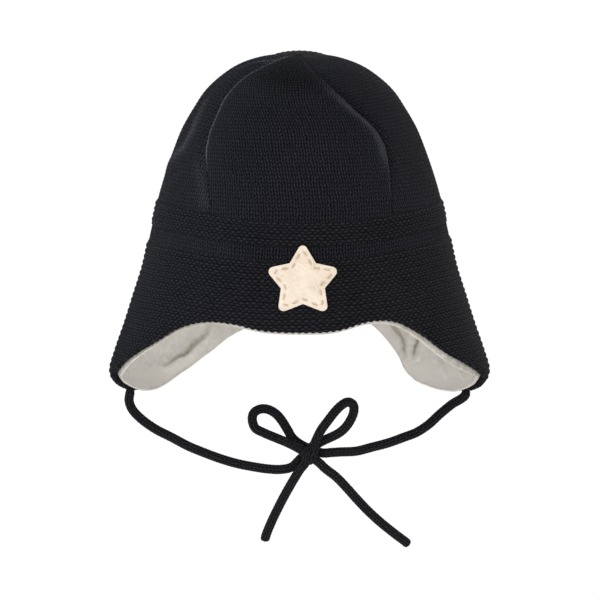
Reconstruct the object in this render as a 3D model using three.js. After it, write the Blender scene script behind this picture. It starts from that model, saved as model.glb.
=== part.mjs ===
// Baby winter hat: a knitted crown of four gores, a ribbed band, a plain band and a ribbed
// brim that drops into two ear flaps, over a soft lining. Each flap ends in a knitted tie,
// and the two ties meet under the chin in a bow. Units are millimetres and +Z is up. The
// wearer looks along -Y. The origin is the inside of the lining at the top of the head.

import * as THREE from 'three';
import { mergeVertices } from 'three/addons/utils/BufferGeometryUtils.js';

// Driving dimensions of the hat
const HAT_HEIGHT = 174;
const HALF_WIDTH = 94.4;
const HALF_DEPTH = 79.5;
const KNIT_THICKNESS = 2.4;
const LINING_THICKNESS = 1.0;
const LINING_GAP = 0.6;
const SEAM_GAP = 0.3;

// Dome of the crown: its radius at the top, and how far its tip leans to the front and sinks by that
const TOP_RADIUS = 76;
const TIP_LEAN_DEG = 10;
const TIP_SINK = 0.4;
const TOP_Z = KNIT_THICKNESS + LINING_GAP + LINING_THICKNESS + TIP_SINK;

// Gores: how far they sink towards a seam, the groove along it, and the front gore's proud edge
const GORE_SINK = 1.8;
const SEAM_DEPTH = 1.1;
const SEAM_HALF_WIDTH = 3.2;
const FRONT_EDGE_PROUD = 0.9;

// Ribbed knit stands proud of plain knit
const RIB_PROUD = 0.6;
const BAND_RIB_COUNT = 4;
const BAND_RIB_DEPTH = 0.5;

// How far the lining shows below the knitted edge, and where it shows more: along the fronts of
// the flaps and under them, where it lies inside the curl of the knit
const LINING_SHOWS = 1.5;
const LINING_LIPS = [
  { angle: 60, spread: 21, more: 2.85 },
  { angle: 122, spread: 24, more: 2.6 },
  { angle: -52, spread: 12, more: 1.1 },
  { angle: -74, spread: 11, more: 3.3 },
  { angle: -122, spread: 24, more: 2.6 },
];

// Star-shaped felt patch on the front
const PATCH_POINTS = 5;
const PATCH_RADIUS = 17.2;
const PATCH_NOTCH_RADIUS = 9.6;
const PATCH_TIP_ROUND = 2.4;
const PATCH_THICKNESS = 1.2;
const PATCH_GAP = 0.35;
const PATCH_DROP = 107.4;
const PATCH_SIDE = 1.6;

// Ties and bow
const CORD_DIAMETER = 4.6;
const CORD_SIDES = 8;
const CORD_STEP = 2.4 * CORD_DIAMETER;
const ROOT_GAP = 0.6;
const ROOT_INSET = 1.2;
const ROOT_LENGTH = 1.8;
const LEFT_ROOT_DEG = -100;
const RIGHT_ROOT_DEG = 102;
const KNOT_RADIUS = 5.2;
const KNOT_HALF_DEPTH = 5.4;
const KNOT_GAP = 0.34;
const KNOT_CENTRE = new THREE.Vector3(5.7, 8, -198.9);
const FRONT_LAYER = -3;
const BACK_LAYER = 3;

// Sections of the hat from its tip down, as shares of HAT_HEIGHT, HALF_WIDTH, HALF_DEPTH and
// TIP_LEAN_DEG
const SECTIONS = table(['down', 'wide', 'deep', 'lean'], [
  [0.000, 0.000, 0.000, 1.00],
  [0.005, 0.111, 0.132, 0.90],
  [0.018, 0.228, 0.270, 0.80],
  [0.041, 0.332, 0.396, 0.62],
  [0.075, 0.422, 0.509, 0.42],
  [0.115, 0.498, 0.604, 0.25],
  [0.164, 0.558, 0.682, 0.12],
  [0.221, 0.618, 0.757, 0.04],
  [0.284, 0.665, 0.821, 0.00],
  [0.351, 0.708, 0.878, 0.00],
  [0.416, 0.743, 0.918, 0.00],
  [0.482, 0.771, 0.950, 0.00],
  [0.546, 0.797, 0.972, 0.00],
  [0.621, 0.828, 0.985, 0.00],
  [0.701, 0.875, 0.992, 0.00],
  [0.782, 0.922, 0.992, 0.00],
  [0.862, 0.973, 0.986, 0.00],
  [0.920, 1.000, 0.967, 0.00],
  [0.960, 0.962, 0.930, 0.00],
  [1.000, 0.893, 0.882, 0.00],
  [1.034, 0.815, 0.825, 0.00],
]);

// Lines where one stitch pattern ends and the next starts, as shares of HAT_HEIGHT below the tip, by
// the angle from the front towards +X. They sag at the front.
const BAND_LINES = table(['angle', 'crownEnd', 'bandEnd', 'plainEnd'], [
  [-180, 0.424, 0.488, 0.545],
  [-90, 0.428, 0.493, 0.549],
  [-60, 0.432, 0.494, 0.547],
  [-45, 0.438, 0.500, 0.550],
  [-30, 0.447, 0.509, 0.560],
  [-15, 0.454, 0.516, 0.566],
  [0, 0.457, 0.518, 0.566],
  [15, 0.457, 0.515, 0.561],
  [30, 0.453, 0.509, 0.553],
  [45, 0.443, 0.498, 0.543],
  [60, 0.435, 0.490, 0.536],
  [90, 0.428, 0.486, 0.536],
  [180, 0.424, 0.488, 0.545],
]);

// Seams between the gores by row, in degrees from the front, turning towards +X
const SEAMS = table(['row', 'frontRight', 'backRight', 'backLeft', 'frontLeft'], [
  [0.0, 13.0, 131, 229, 308.0],
  [2.0, 18.5, 132, 229, 301.0],
  [3.0, 24.0, 132, 229, 300.0],
  [4.3, 28.5, 133, 229, 302.5],
  [5.6, 36.0, 133, 228, 305.0],
  [6.3, 42.0, 134, 228, 306.0],
  [7.0, 45.5, 134, 227, 307.0],
  [8.0, 46.0, 135, 226, 310.0],
  [9.0, 43.0, 135, 225, 317.0],
  [10.0, 40.0, 135, 225, 322.0],
]);

const GORE_SEAMS = {
  front: ['frontLeft', 'frontRight'],
  right: ['frontRight', 'backRight'],
  back: ['backRight', 'backLeft'],
  left: ['backLeft', 'frontLeft'],
};

// The gores' relief grows between the first two rows and fades between the last two
const RELIEF_ROWS = { start: 0.3, full: 3, fade: 8, end: 10 };

// Knitted edge, as shares of HAT_HEIGHT below the tip, by the angle from the front to the back
const RIM = table(['angle', 'right', 'left'], [
  [0, 0.760, 0.760],
  [12, 0.756, 0.756],
  [24, 0.733, 0.738],
  [34, 0.738, 0.738],
  [44, 0.779, 0.760],
  [54, 0.837, 0.805],
  [64, 0.875, 0.845],
  [72, 0.903, 0.877],
  [80, 0.935, 0.920],
  [90, 0.966, 0.959],
  [102, 0.988, 0.985],
  [114, 0.990, 0.987],
  [126, 0.984, 0.973],
  [136, 0.971, 0.953],
  [144, 0.936, 0.931],
  [150, 0.860, 0.899],
  [156, 0.814, 0.858],
  [166, 0.815, 0.823],
  [180, 0.815, 0.815],
]);

// Fineness of the faceted solids
const BAND_STEPS = 40;
const BRIM_STEPS = 64;
const BRIM_ROWS = 7;
const LINING_ROWS = 5;
const TIP_ROW = 0.06;
const CROWN_ROWS = [TIP_ROW, 1, 2, 3, 4, 5, 6, 7, 8, 9, 10];
const CROWN_LEVEL_ROW = 7;
const LINING_CROWN_ROWS = [0, 1, 2, 3, 4, 6, 8, 10, 12];
const GORE_SHARES = [-1, -0.92, -0.78, -0.55, -0.28, 0, 0.28, 0.55, 0.78, 0.92, 1];
const PATCH_STEPS = 40;
const PATCH_RINGS = [0, 0.5, 1];

// Routes of the ties, as they hang
const LEFT_STRAP = route([
  [-85.8, 13.5, -172.9], [-84.2, 13.4, -177.2], [-79.8, 13.2, -181.9], [-72.7, 13.0, -187.0],
  [-64.3, 12.7, -191.3], [-56.2, 12.5, -195.6], [-48.2, 12.2, -198.9], [-40.1, 12.0, -201.9],
  [-32.0, 11.8, -204.3], [-24.0, 11.5, -205.9], [-15.9, 11.3, -207.1], [-9.3, 11.1, -207.3],
  [-4.0, 11.0, -206.1],
]);
const RIGHT_STRAP = route([
  [76.6, 18.4, -175.4], [70.7, 17.5, -180.2], [65.2, 16.7, -185.2], [59.1, 15.9, -189.1],
  [52.7, 15.1, -191.5], [44.6, 14.2, -194.3], [36.6, 13.3, -196.3], [28.5, 12.3, -198.2],
  [20.4, 11.4, -198.5], [16.4, 11.0, -198.7],
]);
const LEFT_LOOP = route([
  [-3.5, 11.0, -191.4], [-6.0, 10.5, -187.2], [-9.2, 9.8, -181.9], [-12.2, 9.3, -178.6],
  [-16.0, 8.8, -176.5], [-19.7, 8.4, -176.3], [-23.0, 7.9, -178.2], [-23.8, 7.6, -181.5],
  [-22.3, 7.1, -185.8], [-17.9, 6.5, -188.2], [-11.8, 5.8, -190.7], [-5.8, 5.0, -193.1],
]);
const RIGHT_LOOP = route([
  [8.9, 5.0, -190.3], [10.8, 5.5, -186.6], [14.3, 6.3, -181.9], [18.1, 7.0, -177.1],
  [21.6, 7.7, -173.9], [24.5, 8.1, -172.7], [27.0, 8.5, -174.3], [27.2, 8.9, -177.9],
  [24.7, 9.6, -183.6], [20.6, 10.4, -188.2],
]);
const LEFT_TAIL = route([
  [0.2, 5.0, -206.5], [-2.5, 5.3, -210.9], [-6.0, 5.6, -217.0], [-9.3, 5.9, -223.2],
  [-12.3, 6.3, -229.3], [-15.1, 6.6, -235.5], [-17.1, 6.9, -240.9], [-17.6, 7.0, -243.6],
]);
const RIGHT_TAIL = route([
  [12.8, 5.0, -206.0], [18.4, 5.2, -210.4], [23.4, 5.5, -215.6], [28.7, 5.8, -221.6],
  [34.5, 6.1, -227.8], [41.1, 6.4, -233.9], [48.1, 6.7, -239.6], [53.2, 6.9, -243.5],
  [55.4, 7.0, -245.5],
]);

// Outline of the knot from its front to its back, as shares of its radius and half depth
const KNOT_OUTLINE = table(['across', 'along'], [
  [0, -1],
  [0.6, -1],
  [0.9, -0.75],
  [1, -0.4],
  [1, 0.4],
  [0.9, 0.75],
  [0.6, 1],
  [0, 1],
]);
const KNOT_SIDES = 16;

// Colours of the yarn, the jersey and the felt
const NAVY_KNIT = cloth('#1b1d26', 0.95);
const NAVY_RIB = cloth('#181a22', 0.95);
const NAVY_CORD = cloth('#17181f', 0.9);
const PALE_JERSEY = cloth('#cfccc4', 0.9);
const CREAM_FELT = cloth('#ecdfcf', 0.95);

// Named columns from rows of numbers
function table(names, rows) {
  return Object.fromEntries(names.map((name, column) => [name, rows.map((row) => row[column])]));
}

// Points of a tie's centreline
function route(points) {
  return points.map(([x, y, z]) => new THREE.Vector3(x, y, z));
}

function cloth(color, roughness) {
  return new THREE.MeshStandardMaterial({ color, roughness, metalness: 0 });
}

// Smooth curve through the values at the given places, level at its ends where asked
function smooth(places, values, at, levelEnds) {
  const last = places.length - 1;
  const x = THREE.MathUtils.clamp(at, places[0], places[last]);
  let i = 0;
  while (i < last - 1 && x > places[i + 1]) i += 1;
  const slope = (k) => {
    if (levelEnds && (k === 0 || k === last)) return 0;
    const before = Math.max(k - 1, 0);
    const after = Math.min(k + 1, last);
    return (values[after] - values[before]) / (places[after] - places[before]);
  };
  const span = places[i + 1] - places[i];
  const s = (x - places[i]) / span;
  const rise = values[i + 1] - values[i];
  const leave = slope(i) * span;
  const arrive = slope(i + 1) * span;
  return values[i] + s * (leave + s * (3 * rise - 2 * leave - arrive + s * (leave + arrive - 2 * rise)));
}

const ROWS = SECTIONS.down.map((_, i) => i);

// One column of the sections at a row, which may lie between two rows
function section(name, row) {
  return smooth(ROWS, SECTIONS[name], row, false);
}

// Row that lies the given share of HAT_HEIGHT below the tip
function rowAt(down) {
  let low = 0;
  let high = ROWS.length - 1;
  for (let i = 0; i < 40; i += 1) {
    const middle = (low + high) / 2;
    if (section('down', middle) < down) low = middle;
    else high = middle;
  }
  return low;
}

// Row that lies the given number of millimetres below another, or above it if negative
function rowPast(row, drop) {
  return rowAt(section('down', row) + drop / HAT_HEIGHT);
}

// Point of the hat's outer form, by the angle from the front towards +X and the row
function form(angle, row) {
  const centre = TOP_Z - TOP_RADIUS;
  const back = -HALF_DEPTH * section('deep', row) * Math.cos(angle);
  const up = TOP_RADIUS - HAT_HEIGHT * section('down', row);
  const lean = THREE.MathUtils.degToRad(TIP_LEAN_DEG * section('lean', row));
  return new THREE.Vector3(
    HALF_WIDTH * section('wide', row) * Math.sin(angle),
    back * Math.cos(lean) - up * Math.sin(lean),
    centre + back * Math.sin(lean) + up * Math.cos(lean),
  );
}

// Point that stands off the outer form along its normal
function offForm(angle, row, off) {
  const step = 0.01;
  const near = Math.max(row, 2 * step);
  const around = form(angle + step, near).sub(form(angle - step, near));
  const down = form(angle, near + step).sub(form(angle, near - step));
  const normal = down.cross(around).normalize();
  if (row < step) {
    const lean = THREE.MathUtils.degToRad(TIP_LEAN_DEG);
    normal.set(0, -Math.sin(lean), Math.cos(lean));
  }
  return form(angle, row).addScaledVector(normal, off);
}

function reliefFade(row) {
  const grown = THREE.MathUtils.smoothstep(row, RELIEF_ROWS.start, RELIEF_ROWS.full);
  return grown * (1 - THREE.MathUtils.smoothstep(row, RELIEF_ROWS.fade, RELIEF_ROWS.end));
}

// The gores sink towards their seams. A share is 0 in a gore's middle and -1 or 1 at its seams.
function goreRelief(share, row) {
  return -GORE_SINK * reliefFade(row) * share ** 2;
}

// The outside also has a groove at each seam, and the gores beside the front one lie under its edge
function seamRelief(share, row, half, sunk) {
  const arc = (1 - Math.abs(share)) * half * HALF_WIDTH * section('wide', row);
  const depth = SEAM_DEPTH + (sunk ? FRONT_EDGE_PROUD : 0);
  return -depth * reliefFade(row) * Math.exp(-((arc / SEAM_HALF_WIDTH) ** 2));
}

// Middle and half width of the gore between two seams at a row, in radians
function goreSpan([from, to], row) {
  const [start, end] = [from, to].map((seam) => smooth(SEAMS.row, SEAMS[seam], row, false));
  const before = start > end ? start - 360 : start;
  return [(before + end) / 2, (end - before) / 2].map(THREE.MathUtils.degToRad);
}

// Share of the gore that lies at an angle
function goreShare(angle, row) {
  const shares = Object.values(GORE_SEAMS).map((seams) => {
    const [centre, half] = goreSpan(seams, row);
    return (THREE.MathUtils.euclideanModulo(angle - centre + Math.PI, 2 * Math.PI) - Math.PI) / half;
  });
  const nearest = shares.reduce((best, share) => (Math.abs(share) < Math.abs(best) ? share : best));
  return THREE.MathUtils.clamp(nearest, -1, 1);
}

// Degrees from the front, up to 180 towards +X and down to -180 towards -X
function degreesAt(angle) {
  return THREE.MathUtils.euclideanModulo(THREE.MathUtils.radToDeg(angle) + 180, 360) - 180;
}

// Row of the knitted edge at an angle
function rimRow(angle) {
  const degrees = degreesAt(angle);
  const side = degrees >= 0 ? RIM.right : RIM.left;
  return rowAt(smooth(RIM.angle, side, Math.abs(degrees), true));
}

// Row of the line of the given name at an angle
function lineRow(name, angle) {
  return rowAt(smooth(BAND_LINES.angle, BAND_LINES[name], degreesAt(angle), true));
}

// Row of the crown's cloth at an angle. Below its last level row it is drawn down to the crown's end.
function crownRow(angle, row) {
  const end = rowPast(lineRow('crownEnd', angle), -SEAM_GAP / 2);
  const drawn = THREE.MathUtils.mapLinear(row, CROWN_LEVEL_ROW, CROWN_ROWS.at(-1), CROWN_LEVEL_ROW, end);
  return row > CROWN_LEVEL_ROW ? drawn : row;
}

// Row of the lining's edge
function liningRow(angle) {
  const shows = LINING_LIPS.reduce((sum, lip) => (
    sum + lip.more * Math.exp(-(((degreesAt(angle) - lip.angle) / lip.spread) ** 2))
  ), LINING_SHOWS);
  return rowPast(rimRow(angle), shows);
}

// Closed solid between an outer and an inner grid of points, each a list of columns from the top
// down. The columns go all the way round where the grid is a ring.
function wall(outer, inner, ring) {
  const positions = [];
  const faces = [];
  const put = (grid) => grid.map((column) => column.map((p) => positions.push(p.x, p.y, p.z) / 3 - 1));
  const out = put(outer);
  const back = put(inner);
  const quad = (a, b, c, d) => faces.push(a, b, c, a, c, d);
  const bottom = outer[0].length - 1;
  const end = outer.length - 1;
  const spans = ring ? outer.length : end;
  for (let i = 0; i < spans; i += 1) {
    const n = (i + 1) % outer.length;
    for (let j = 0; j < bottom; j += 1) {
      quad(out[i][j], out[i][j + 1], out[n][j + 1], out[n][j]);
      quad(back[i][j], back[n][j], back[n][j + 1], back[i][j + 1]);
    }
    quad(out[i][bottom], back[i][bottom], back[n][bottom], out[n][bottom]);
    quad(out[i][0], out[n][0], back[n][0], back[i][0]);
  }
  for (let j = 0; j < bottom && !ring; j += 1) {
    quad(out[0][j], back[0][j], back[0][j + 1], out[0][j + 1]);
    quad(out[end][j], out[end][j + 1], back[end][j + 1], back[end][j]);
  }
  return closedGeometry(positions, faces);
}

// Geometry with its shared vertices merged, its empty faces dropped and all its faces pointing out
function closedGeometry(positions, faces) {
  const loose = new THREE.BufferGeometry();
  loose.setAttribute('position', new THREE.Float32BufferAttribute(positions, 3));
  loose.setIndex(faces);
  const geometry = mergeVertices(loose, 1e-4);
  const index = Array.from(geometry.index.array);
  const corner = (id) => new THREE.Vector3().fromBufferAttribute(geometry.attributes.position, id);
  const kept = [];
  let volume = 0;
  for (let k = 0; k < index.length; k += 3) {
    const [a, b, c] = index.slice(k, k + 3);
    if (a !== b && b !== c && c !== a) {
      volume += corner(a).dot(corner(b).cross(corner(c)));
      kept.push([a, b, c]);
    }
  }
  const facing = volume < 0 ? kept.map(([a, b, c]) => [b, a, c]) : kept;
  geometry.setIndex(facing.flat());
  geometry.computeVertexNormals();
  return geometry;
}

function named(name, geometry, finish) {
  const mesh = new THREE.Mesh(geometry, finish);
  mesh.name = name;
  return mesh;
}

// Angles all the way round
function ringAngles(steps) {
  return Array.from({ length: steps }, (_, i) => (2 * Math.PI * i) / steps);
}

// One gore of the crown. The side of it that lies under the front gore's edge is 1 or -1, or 0
// where neither does.
function gore(name, seams, sunkSide) {
  const place = (share, row) => {
    const [centre, half] = goreSpan(seams, row);
    const cut = SEAM_GAP / 2 / (HALF_WIDTH * section('wide', row));
    return { angle: centre + share * (half - cut), half };
  };
  const grid = (relief) => GORE_SHARES.map((share) => CROWN_ROWS.map((level) => {
    const row = crownRow(place(share, level).angle, level);
    const { angle, half } = place(share, row);
    return offForm(angle, row, relief(share, row, half));
  }));
  const outer = grid((share, row, half) => (
    goreRelief(share, row) + seamRelief(share, row, half, share * sunkSide > 0)
  ));
  const inner = grid((share, row) => goreRelief(share, row) - KNIT_THICKNESS);
  return named(name, wall(outer, inner, false), NAVY_KNIT);
}

// A ring of knit from the line of the given name down to the rows that the function names round it.
// Its outside stands off the form as the profile says for each of its rows.
function knitRing(name, line, end, rows, steps, profile, finish) {
  const grid = (off) => ringAngles(steps).map((angle) => {
    const top = rowPast(lineRow(line, angle), SEAM_GAP / 2);
    return Array.from({ length: rows + 1 }, (_, j) => (
      offForm(angle, THREE.MathUtils.lerp(top, end(angle), j / rows), off(j))
    ));
  });
  return named(name, wall(grid(profile), grid(() => -KNIT_THICKNESS), true), finish);
}

// The lining follows the inside of the knit and ends a little below its edge
function lining() {
  const grid = (depth) => ringAngles(BRIM_STEPS).map((angle) => {
    const edge = liningRow(angle);
    const below = Array.from({ length: LINING_ROWS }, (_, j) => (
      THREE.MathUtils.lerp(LINING_CROWN_ROWS.at(-1), edge, (j + 1) / LINING_ROWS)
    ));
    return [...LINING_CROWN_ROWS, ...below].map((row) => (
      offForm(angle, row, goreRelief(goreShare(angle, row), row) - depth)
    ));
  });
  const outside = KNIT_THICKNESS + LINING_GAP;
  return named('lining', wall(grid(outside), grid(outside + LINING_THICKNESS), true), PALE_JERSEY);
}

// Radius of the patch at a turn from its upper tip: straight edges between notches and round tips
function patchRadius(turn) {
  const wedge = Math.PI / PATCH_POINTS;
  const away = Math.abs(THREE.MathUtils.euclideanModulo(turn + wedge, 2 * wedge) - wedge);
  const notch = [PATCH_NOTCH_RADIUS * Math.cos(wedge), PATCH_NOTCH_RADIUS * Math.sin(wedge)];
  const slope = Math.atan2(notch[1], PATCH_RADIUS - notch[0]);
  const centre = PATCH_RADIUS - PATCH_TIP_ROUND;
  const corner = centre + PATCH_TIP_ROUND / Math.sin(slope);
  const edge = (corner * Math.sin(slope)) / Math.sin(slope + away);
  const tangent = Math.atan2(
    PATCH_TIP_ROUND * Math.cos(slope),
    centre + PATCH_TIP_ROUND * Math.sin(slope),
  );
  const chord = Math.sqrt(Math.max(PATCH_TIP_ROUND ** 2 - (centre * Math.sin(away)) ** 2, 0));
  return away < tangent ? centre * Math.cos(away) + chord : edge;
}

// Felt patch that follows the front of the hat
function patch() {
  const around = HALF_DEPTH * section('deep', lineRow('plainEnd', 0));
  const grid = (off) => ringAngles(PATCH_STEPS).map((turn) => PATCH_RINGS.map((share) => {
    const radius = share * patchRadius(turn);
    const row = rowAt((PATCH_DROP - radius * Math.cos(turn)) / HAT_HEIGHT);
    return offForm((PATCH_SIDE + radius * Math.sin(turn)) / around, row, RIB_PROUD + off);
  }));
  const geometry = wall(grid(PATCH_GAP + PATCH_THICKNESS), grid(PATCH_GAP), true);
  return named('felt_patch', geometry, CREAM_FELT);
}

// Start of a tie under the edge of a flap: two points, one below the other
function tieRoot(degrees) {
  const angle = THREE.MathUtils.degToRad(degrees);
  const edge = offForm(angle, liningRow(angle), -KNIT_THICKNESS - LINING_GAP);
  const start = offForm(angle, rimRow(angle), -ROOT_INSET).setZ(edge.z - ROOT_GAP);
  return [start, start.clone().setZ(start.z - ROOT_LENGTH)];
}

// End of a tie at the knot's side: two points, the outer one first
function knotEnd(degrees, layer) {
  const turn = THREE.MathUtils.degToRad(degrees);
  const out = new THREE.Vector3(Math.cos(turn), 0, Math.sin(turn));
  const middle = KNOT_CENTRE.clone().setY(KNOT_CENTRE.y + layer);
  const near = KNOT_RADIUS + KNOT_GAP;
  return [near + CORD_DIAMETER / 2, near].map((distance) => middle.clone().addScaledVector(out, distance));
}

function knotStart(degrees, layer) {
  return knotEnd(degrees, layer).reverse();
}

// A stretch of tie along its route
function tie(name, points) {
  const curve = new THREE.CatmullRomCurve3(points, false, 'centripetal');
  const round = ringAngles(CORD_SIDES).map((turn) => (
    new THREE.Vector2(Math.cos(turn), Math.sin(turn)).multiplyScalar(CORD_DIAMETER / 2)
  ));
  const steps = Math.round(curve.getLength() / CORD_STEP) * 2;
  const tube = new THREE.ExtrudeGeometry(new THREE.Shape(round), {
    steps,
    extrudePath: curve,
    bevelEnabled: false,
  });
  const positions = Array.from(tube.attributes.position.array);
  const faces = Array.from({ length: positions.length / 3 }, (_, i) => i);
  return named(name, closedGeometry(positions, faces), NAVY_CORD);
}

// The knot is a rounded barrel that lies front to back
function knot() {
  const outline = KNOT_OUTLINE.across.map((across, i) => (
    new THREE.Vector2(across * KNOT_RADIUS, KNOT_OUTLINE.along[i] * KNOT_HALF_DEPTH)
  ));
  const barrel = new THREE.LatheGeometry(outline, KNOT_SIDES);
  const positions = Array.from(barrel.attributes.position.array);
  const mesh = named('bow_knot', closedGeometry(positions, Array.from(barrel.index.array)), NAVY_CORD);
  mesh.position.copy(KNOT_CENTRE);
  return mesh;
}

const crown = new THREE.Group();
crown.add(gore('crown_gore_front', GORE_SEAMS.front, 0));
crown.add(gore('crown_gore_right', GORE_SEAMS.right, -1));
crown.add(gore('crown_gore_back', GORE_SEAMS.back, 0));
crown.add(gore('crown_gore_left', GORE_SEAMS.left, 1));

const bandProfile = (j) => RIB_PROUD + (j % 2) * BAND_RIB_DEPTH;
const bandEdge = (angle) => rowPast(lineRow('bandEnd', angle), -SEAM_GAP / 2);
const plainEdge = (angle) => rowPast(lineRow('plainEnd', angle), -SEAM_GAP / 2);
const bandRows = 2 * BAND_RIB_COUNT;
const bands = new THREE.Group();
bands.add(knitRing('ribbed_band', 'crownEnd', bandEdge, bandRows, BAND_STEPS, bandProfile, NAVY_RIB));
bands.add(knitRing('plain_band', 'bandEnd', plainEdge, 2, BAND_STEPS, () => 0, NAVY_KNIT));
bands.add(knitRing('ear_flap_brim', 'plainEnd', rimRow, BRIM_ROWS, BRIM_STEPS, () => RIB_PROUD, NAVY_RIB));
bands.add(patch());

const bow = new THREE.Group();
bow.add(tie('tie_strap_left', [...tieRoot(LEFT_ROOT_DEG), ...LEFT_STRAP, ...knotEnd(208, BACK_LAYER)]));
bow.add(tie('tie_strap_right', [...tieRoot(RIGHT_ROOT_DEG), ...RIGHT_STRAP, ...knotEnd(0, BACK_LAYER)]));
bow.add(tie('tie_loop_left', [
  ...knotStart(138, BACK_LAYER), ...LEFT_LOOP, ...knotEnd(155, FRONT_LAYER),
]));
bow.add(tie('tie_loop_right', [
  ...knotStart(72, FRONT_LAYER), ...RIGHT_LOOP, ...knotEnd(54, BACK_LAYER),
]));
bow.add(tie('tie_tail_left', [...knotStart(236, FRONT_LAYER), ...LEFT_TAIL]));
bow.add(tie('tie_tail_right', [...knotStart(314, FRONT_LAYER), ...RIGHT_TAIL]));
bow.add(knot());

const hat = new THREE.Group();
hat.add(crown, bands, lining(), bow);

export default hat;
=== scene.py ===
"""Looks of the baby winter hat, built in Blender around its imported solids.

The hat is hand knitted in dark navy yarn: a crown of four gores, a ribbed band, a plain band and a
ribbed brim with two ear flaps. A pale jersey lining shows inside, a felt star sits on the front, and
a knitted tie from each flap meets the other in a bow. Lengths in the classes are in millimetres, as
in the part's source, and become metres where a mesh or a material is made.
"""

import logging
import math
from collections.abc import Callable, Sequence
from dataclasses import dataclass, field
from enum import Enum
from functools import cached_property

import bmesh
import bpy
import numpy as np
from mathutils import Matrix, Vector

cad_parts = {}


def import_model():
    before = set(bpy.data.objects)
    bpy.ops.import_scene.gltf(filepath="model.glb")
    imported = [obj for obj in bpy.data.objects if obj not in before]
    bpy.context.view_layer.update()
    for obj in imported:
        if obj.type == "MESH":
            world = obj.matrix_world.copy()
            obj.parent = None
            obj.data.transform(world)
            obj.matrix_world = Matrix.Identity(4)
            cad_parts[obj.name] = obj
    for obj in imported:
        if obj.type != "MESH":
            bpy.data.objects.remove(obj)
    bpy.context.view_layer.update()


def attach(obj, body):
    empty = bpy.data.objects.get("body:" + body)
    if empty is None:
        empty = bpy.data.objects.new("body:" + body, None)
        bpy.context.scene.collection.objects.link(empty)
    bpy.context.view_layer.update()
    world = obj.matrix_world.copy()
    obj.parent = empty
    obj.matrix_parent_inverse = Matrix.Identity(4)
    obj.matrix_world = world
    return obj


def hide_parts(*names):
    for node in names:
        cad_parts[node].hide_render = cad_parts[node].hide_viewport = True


LOG = logging.getLogger("winter_hat")
MM = 0.001
TURN = 2 * math.pi
BODY = "root"
Array = np.ndarray
Socket = bpy.types.NodeSocket


# ---- Surfaces -------------------------------------------------------------------------------------


@dataclass(frozen=True)
class SmoothTable:
    """Smooth curve through values at given places."""

    places: Sequence[float]
    values: Sequence[float]
    level_ends: bool = False

    def at(self, where: Array) -> Array:
        """Reads the curve.

        Args:
            where: Places to read it at, held to the table's own range.

        Returns:
            The values there.
        """
        x = np.asarray(self.places, float)
        y = np.asarray(self.values, float)
        slope = np.gradient(y, x, edge_order=1)
        slope[1:-1] = (y[2:] - y[:-2]) / (x[2:] - x[:-2])
        if self.level_ends:
            slope[0] = slope[-1] = 0.0
        held = np.clip(where, x[0], x[-1])
        i = np.clip(np.searchsorted(x, held, side="left") - 1, 0, len(x) - 2)
        span = x[i + 1] - x[i]
        s = (held - x[i]) / span
        rise = y[i + 1] - y[i]
        leave = slope[i] * span
        arrive = slope[i + 1] * span
        return y[i] + s * (leave + s * (3 * rise - 2 * leave - arrive + s * (leave + arrive - 2 * rise)))


def smooth_step(low: float, high: float, at: Array) -> Array:
    """Rises smoothly from 0 at low to 1 at high."""
    s = np.clip((at - low) / (high - low), 0, 1)
    return s * s * (3 - 2 * s)


def front_degrees(angle: Array) -> Array:
    """Degrees from the front towards +X, from -180 to 180, of angles in radians."""
    return (np.degrees(angle) + 180) % 360 - 180


SECTIONS = np.array([
    # down, wide, deep, lean
    (0.000, 0.000, 0.000, 1.00), (0.005, 0.111, 0.132, 0.90), (0.018, 0.228, 0.270, 0.80),
    (0.041, 0.332, 0.396, 0.62), (0.075, 0.422, 0.509, 0.42), (0.115, 0.498, 0.604, 0.25),
    (0.164, 0.558, 0.682, 0.12), (0.221, 0.618, 0.757, 0.04), (0.284, 0.665, 0.821, 0.00),
    (0.351, 0.708, 0.878, 0.00), (0.416, 0.743, 0.918, 0.00), (0.482, 0.771, 0.950, 0.00),
    (0.546, 0.797, 0.972, 0.00), (0.621, 0.828, 0.985, 0.00), (0.701, 0.875, 0.992, 0.00),
    (0.782, 0.922, 0.992, 0.00), (0.862, 0.973, 0.986, 0.00), (0.920, 1.000, 0.967, 0.00),
    (0.960, 0.962, 0.930, 0.00), (1.000, 0.893, 0.882, 0.00), (1.034, 0.815, 0.825, 0.00),
])
RIM = np.array([
    # degrees from the front, right, left
    (0, 0.760, 0.760), (12, 0.756, 0.756), (24, 0.733, 0.738), (34, 0.738, 0.738),
    (44, 0.779, 0.760), (54, 0.837, 0.805), (64, 0.875, 0.845), (72, 0.903, 0.877),
    (80, 0.935, 0.920), (90, 0.966, 0.959), (102, 0.988, 0.985), (114, 0.990, 0.987),
    (126, 0.984, 0.973), (136, 0.971, 0.953), (144, 0.936, 0.931), (150, 0.860, 0.899),
    (156, 0.814, 0.858), (166, 0.815, 0.823), (180, 0.815, 0.815),
])
BAND_LINES = np.array([
    # degrees from the front, then the ends of the crown, the ribbed band and the plain band
    (-180, 0.424, 0.488, 0.545), (-90, 0.428, 0.493, 0.549), (-60, 0.432, 0.494, 0.547),
    (-45, 0.438, 0.500, 0.550), (-30, 0.447, 0.509, 0.560), (-15, 0.454, 0.516, 0.566),
    (0, 0.457, 0.518, 0.566), (15, 0.457, 0.515, 0.561), (30, 0.453, 0.509, 0.553),
    (45, 0.443, 0.498, 0.543), (60, 0.435, 0.490, 0.536), (90, 0.428, 0.486, 0.536),
    (180, 0.424, 0.488, 0.545),
])
LAST_ROW = len(SECTIONS) - 1


class Line(Enum):
    """Lines where one stitch pattern ends and the next starts, by their column."""

    CROWN_END = 1
    BAND_END = 2
    PLAIN_END = 3


@dataclass(frozen=True)
class Lip:
    """A stretch of the edge where the lining shows more below the knit."""

    degrees: float
    spread: float
    more: float


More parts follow.
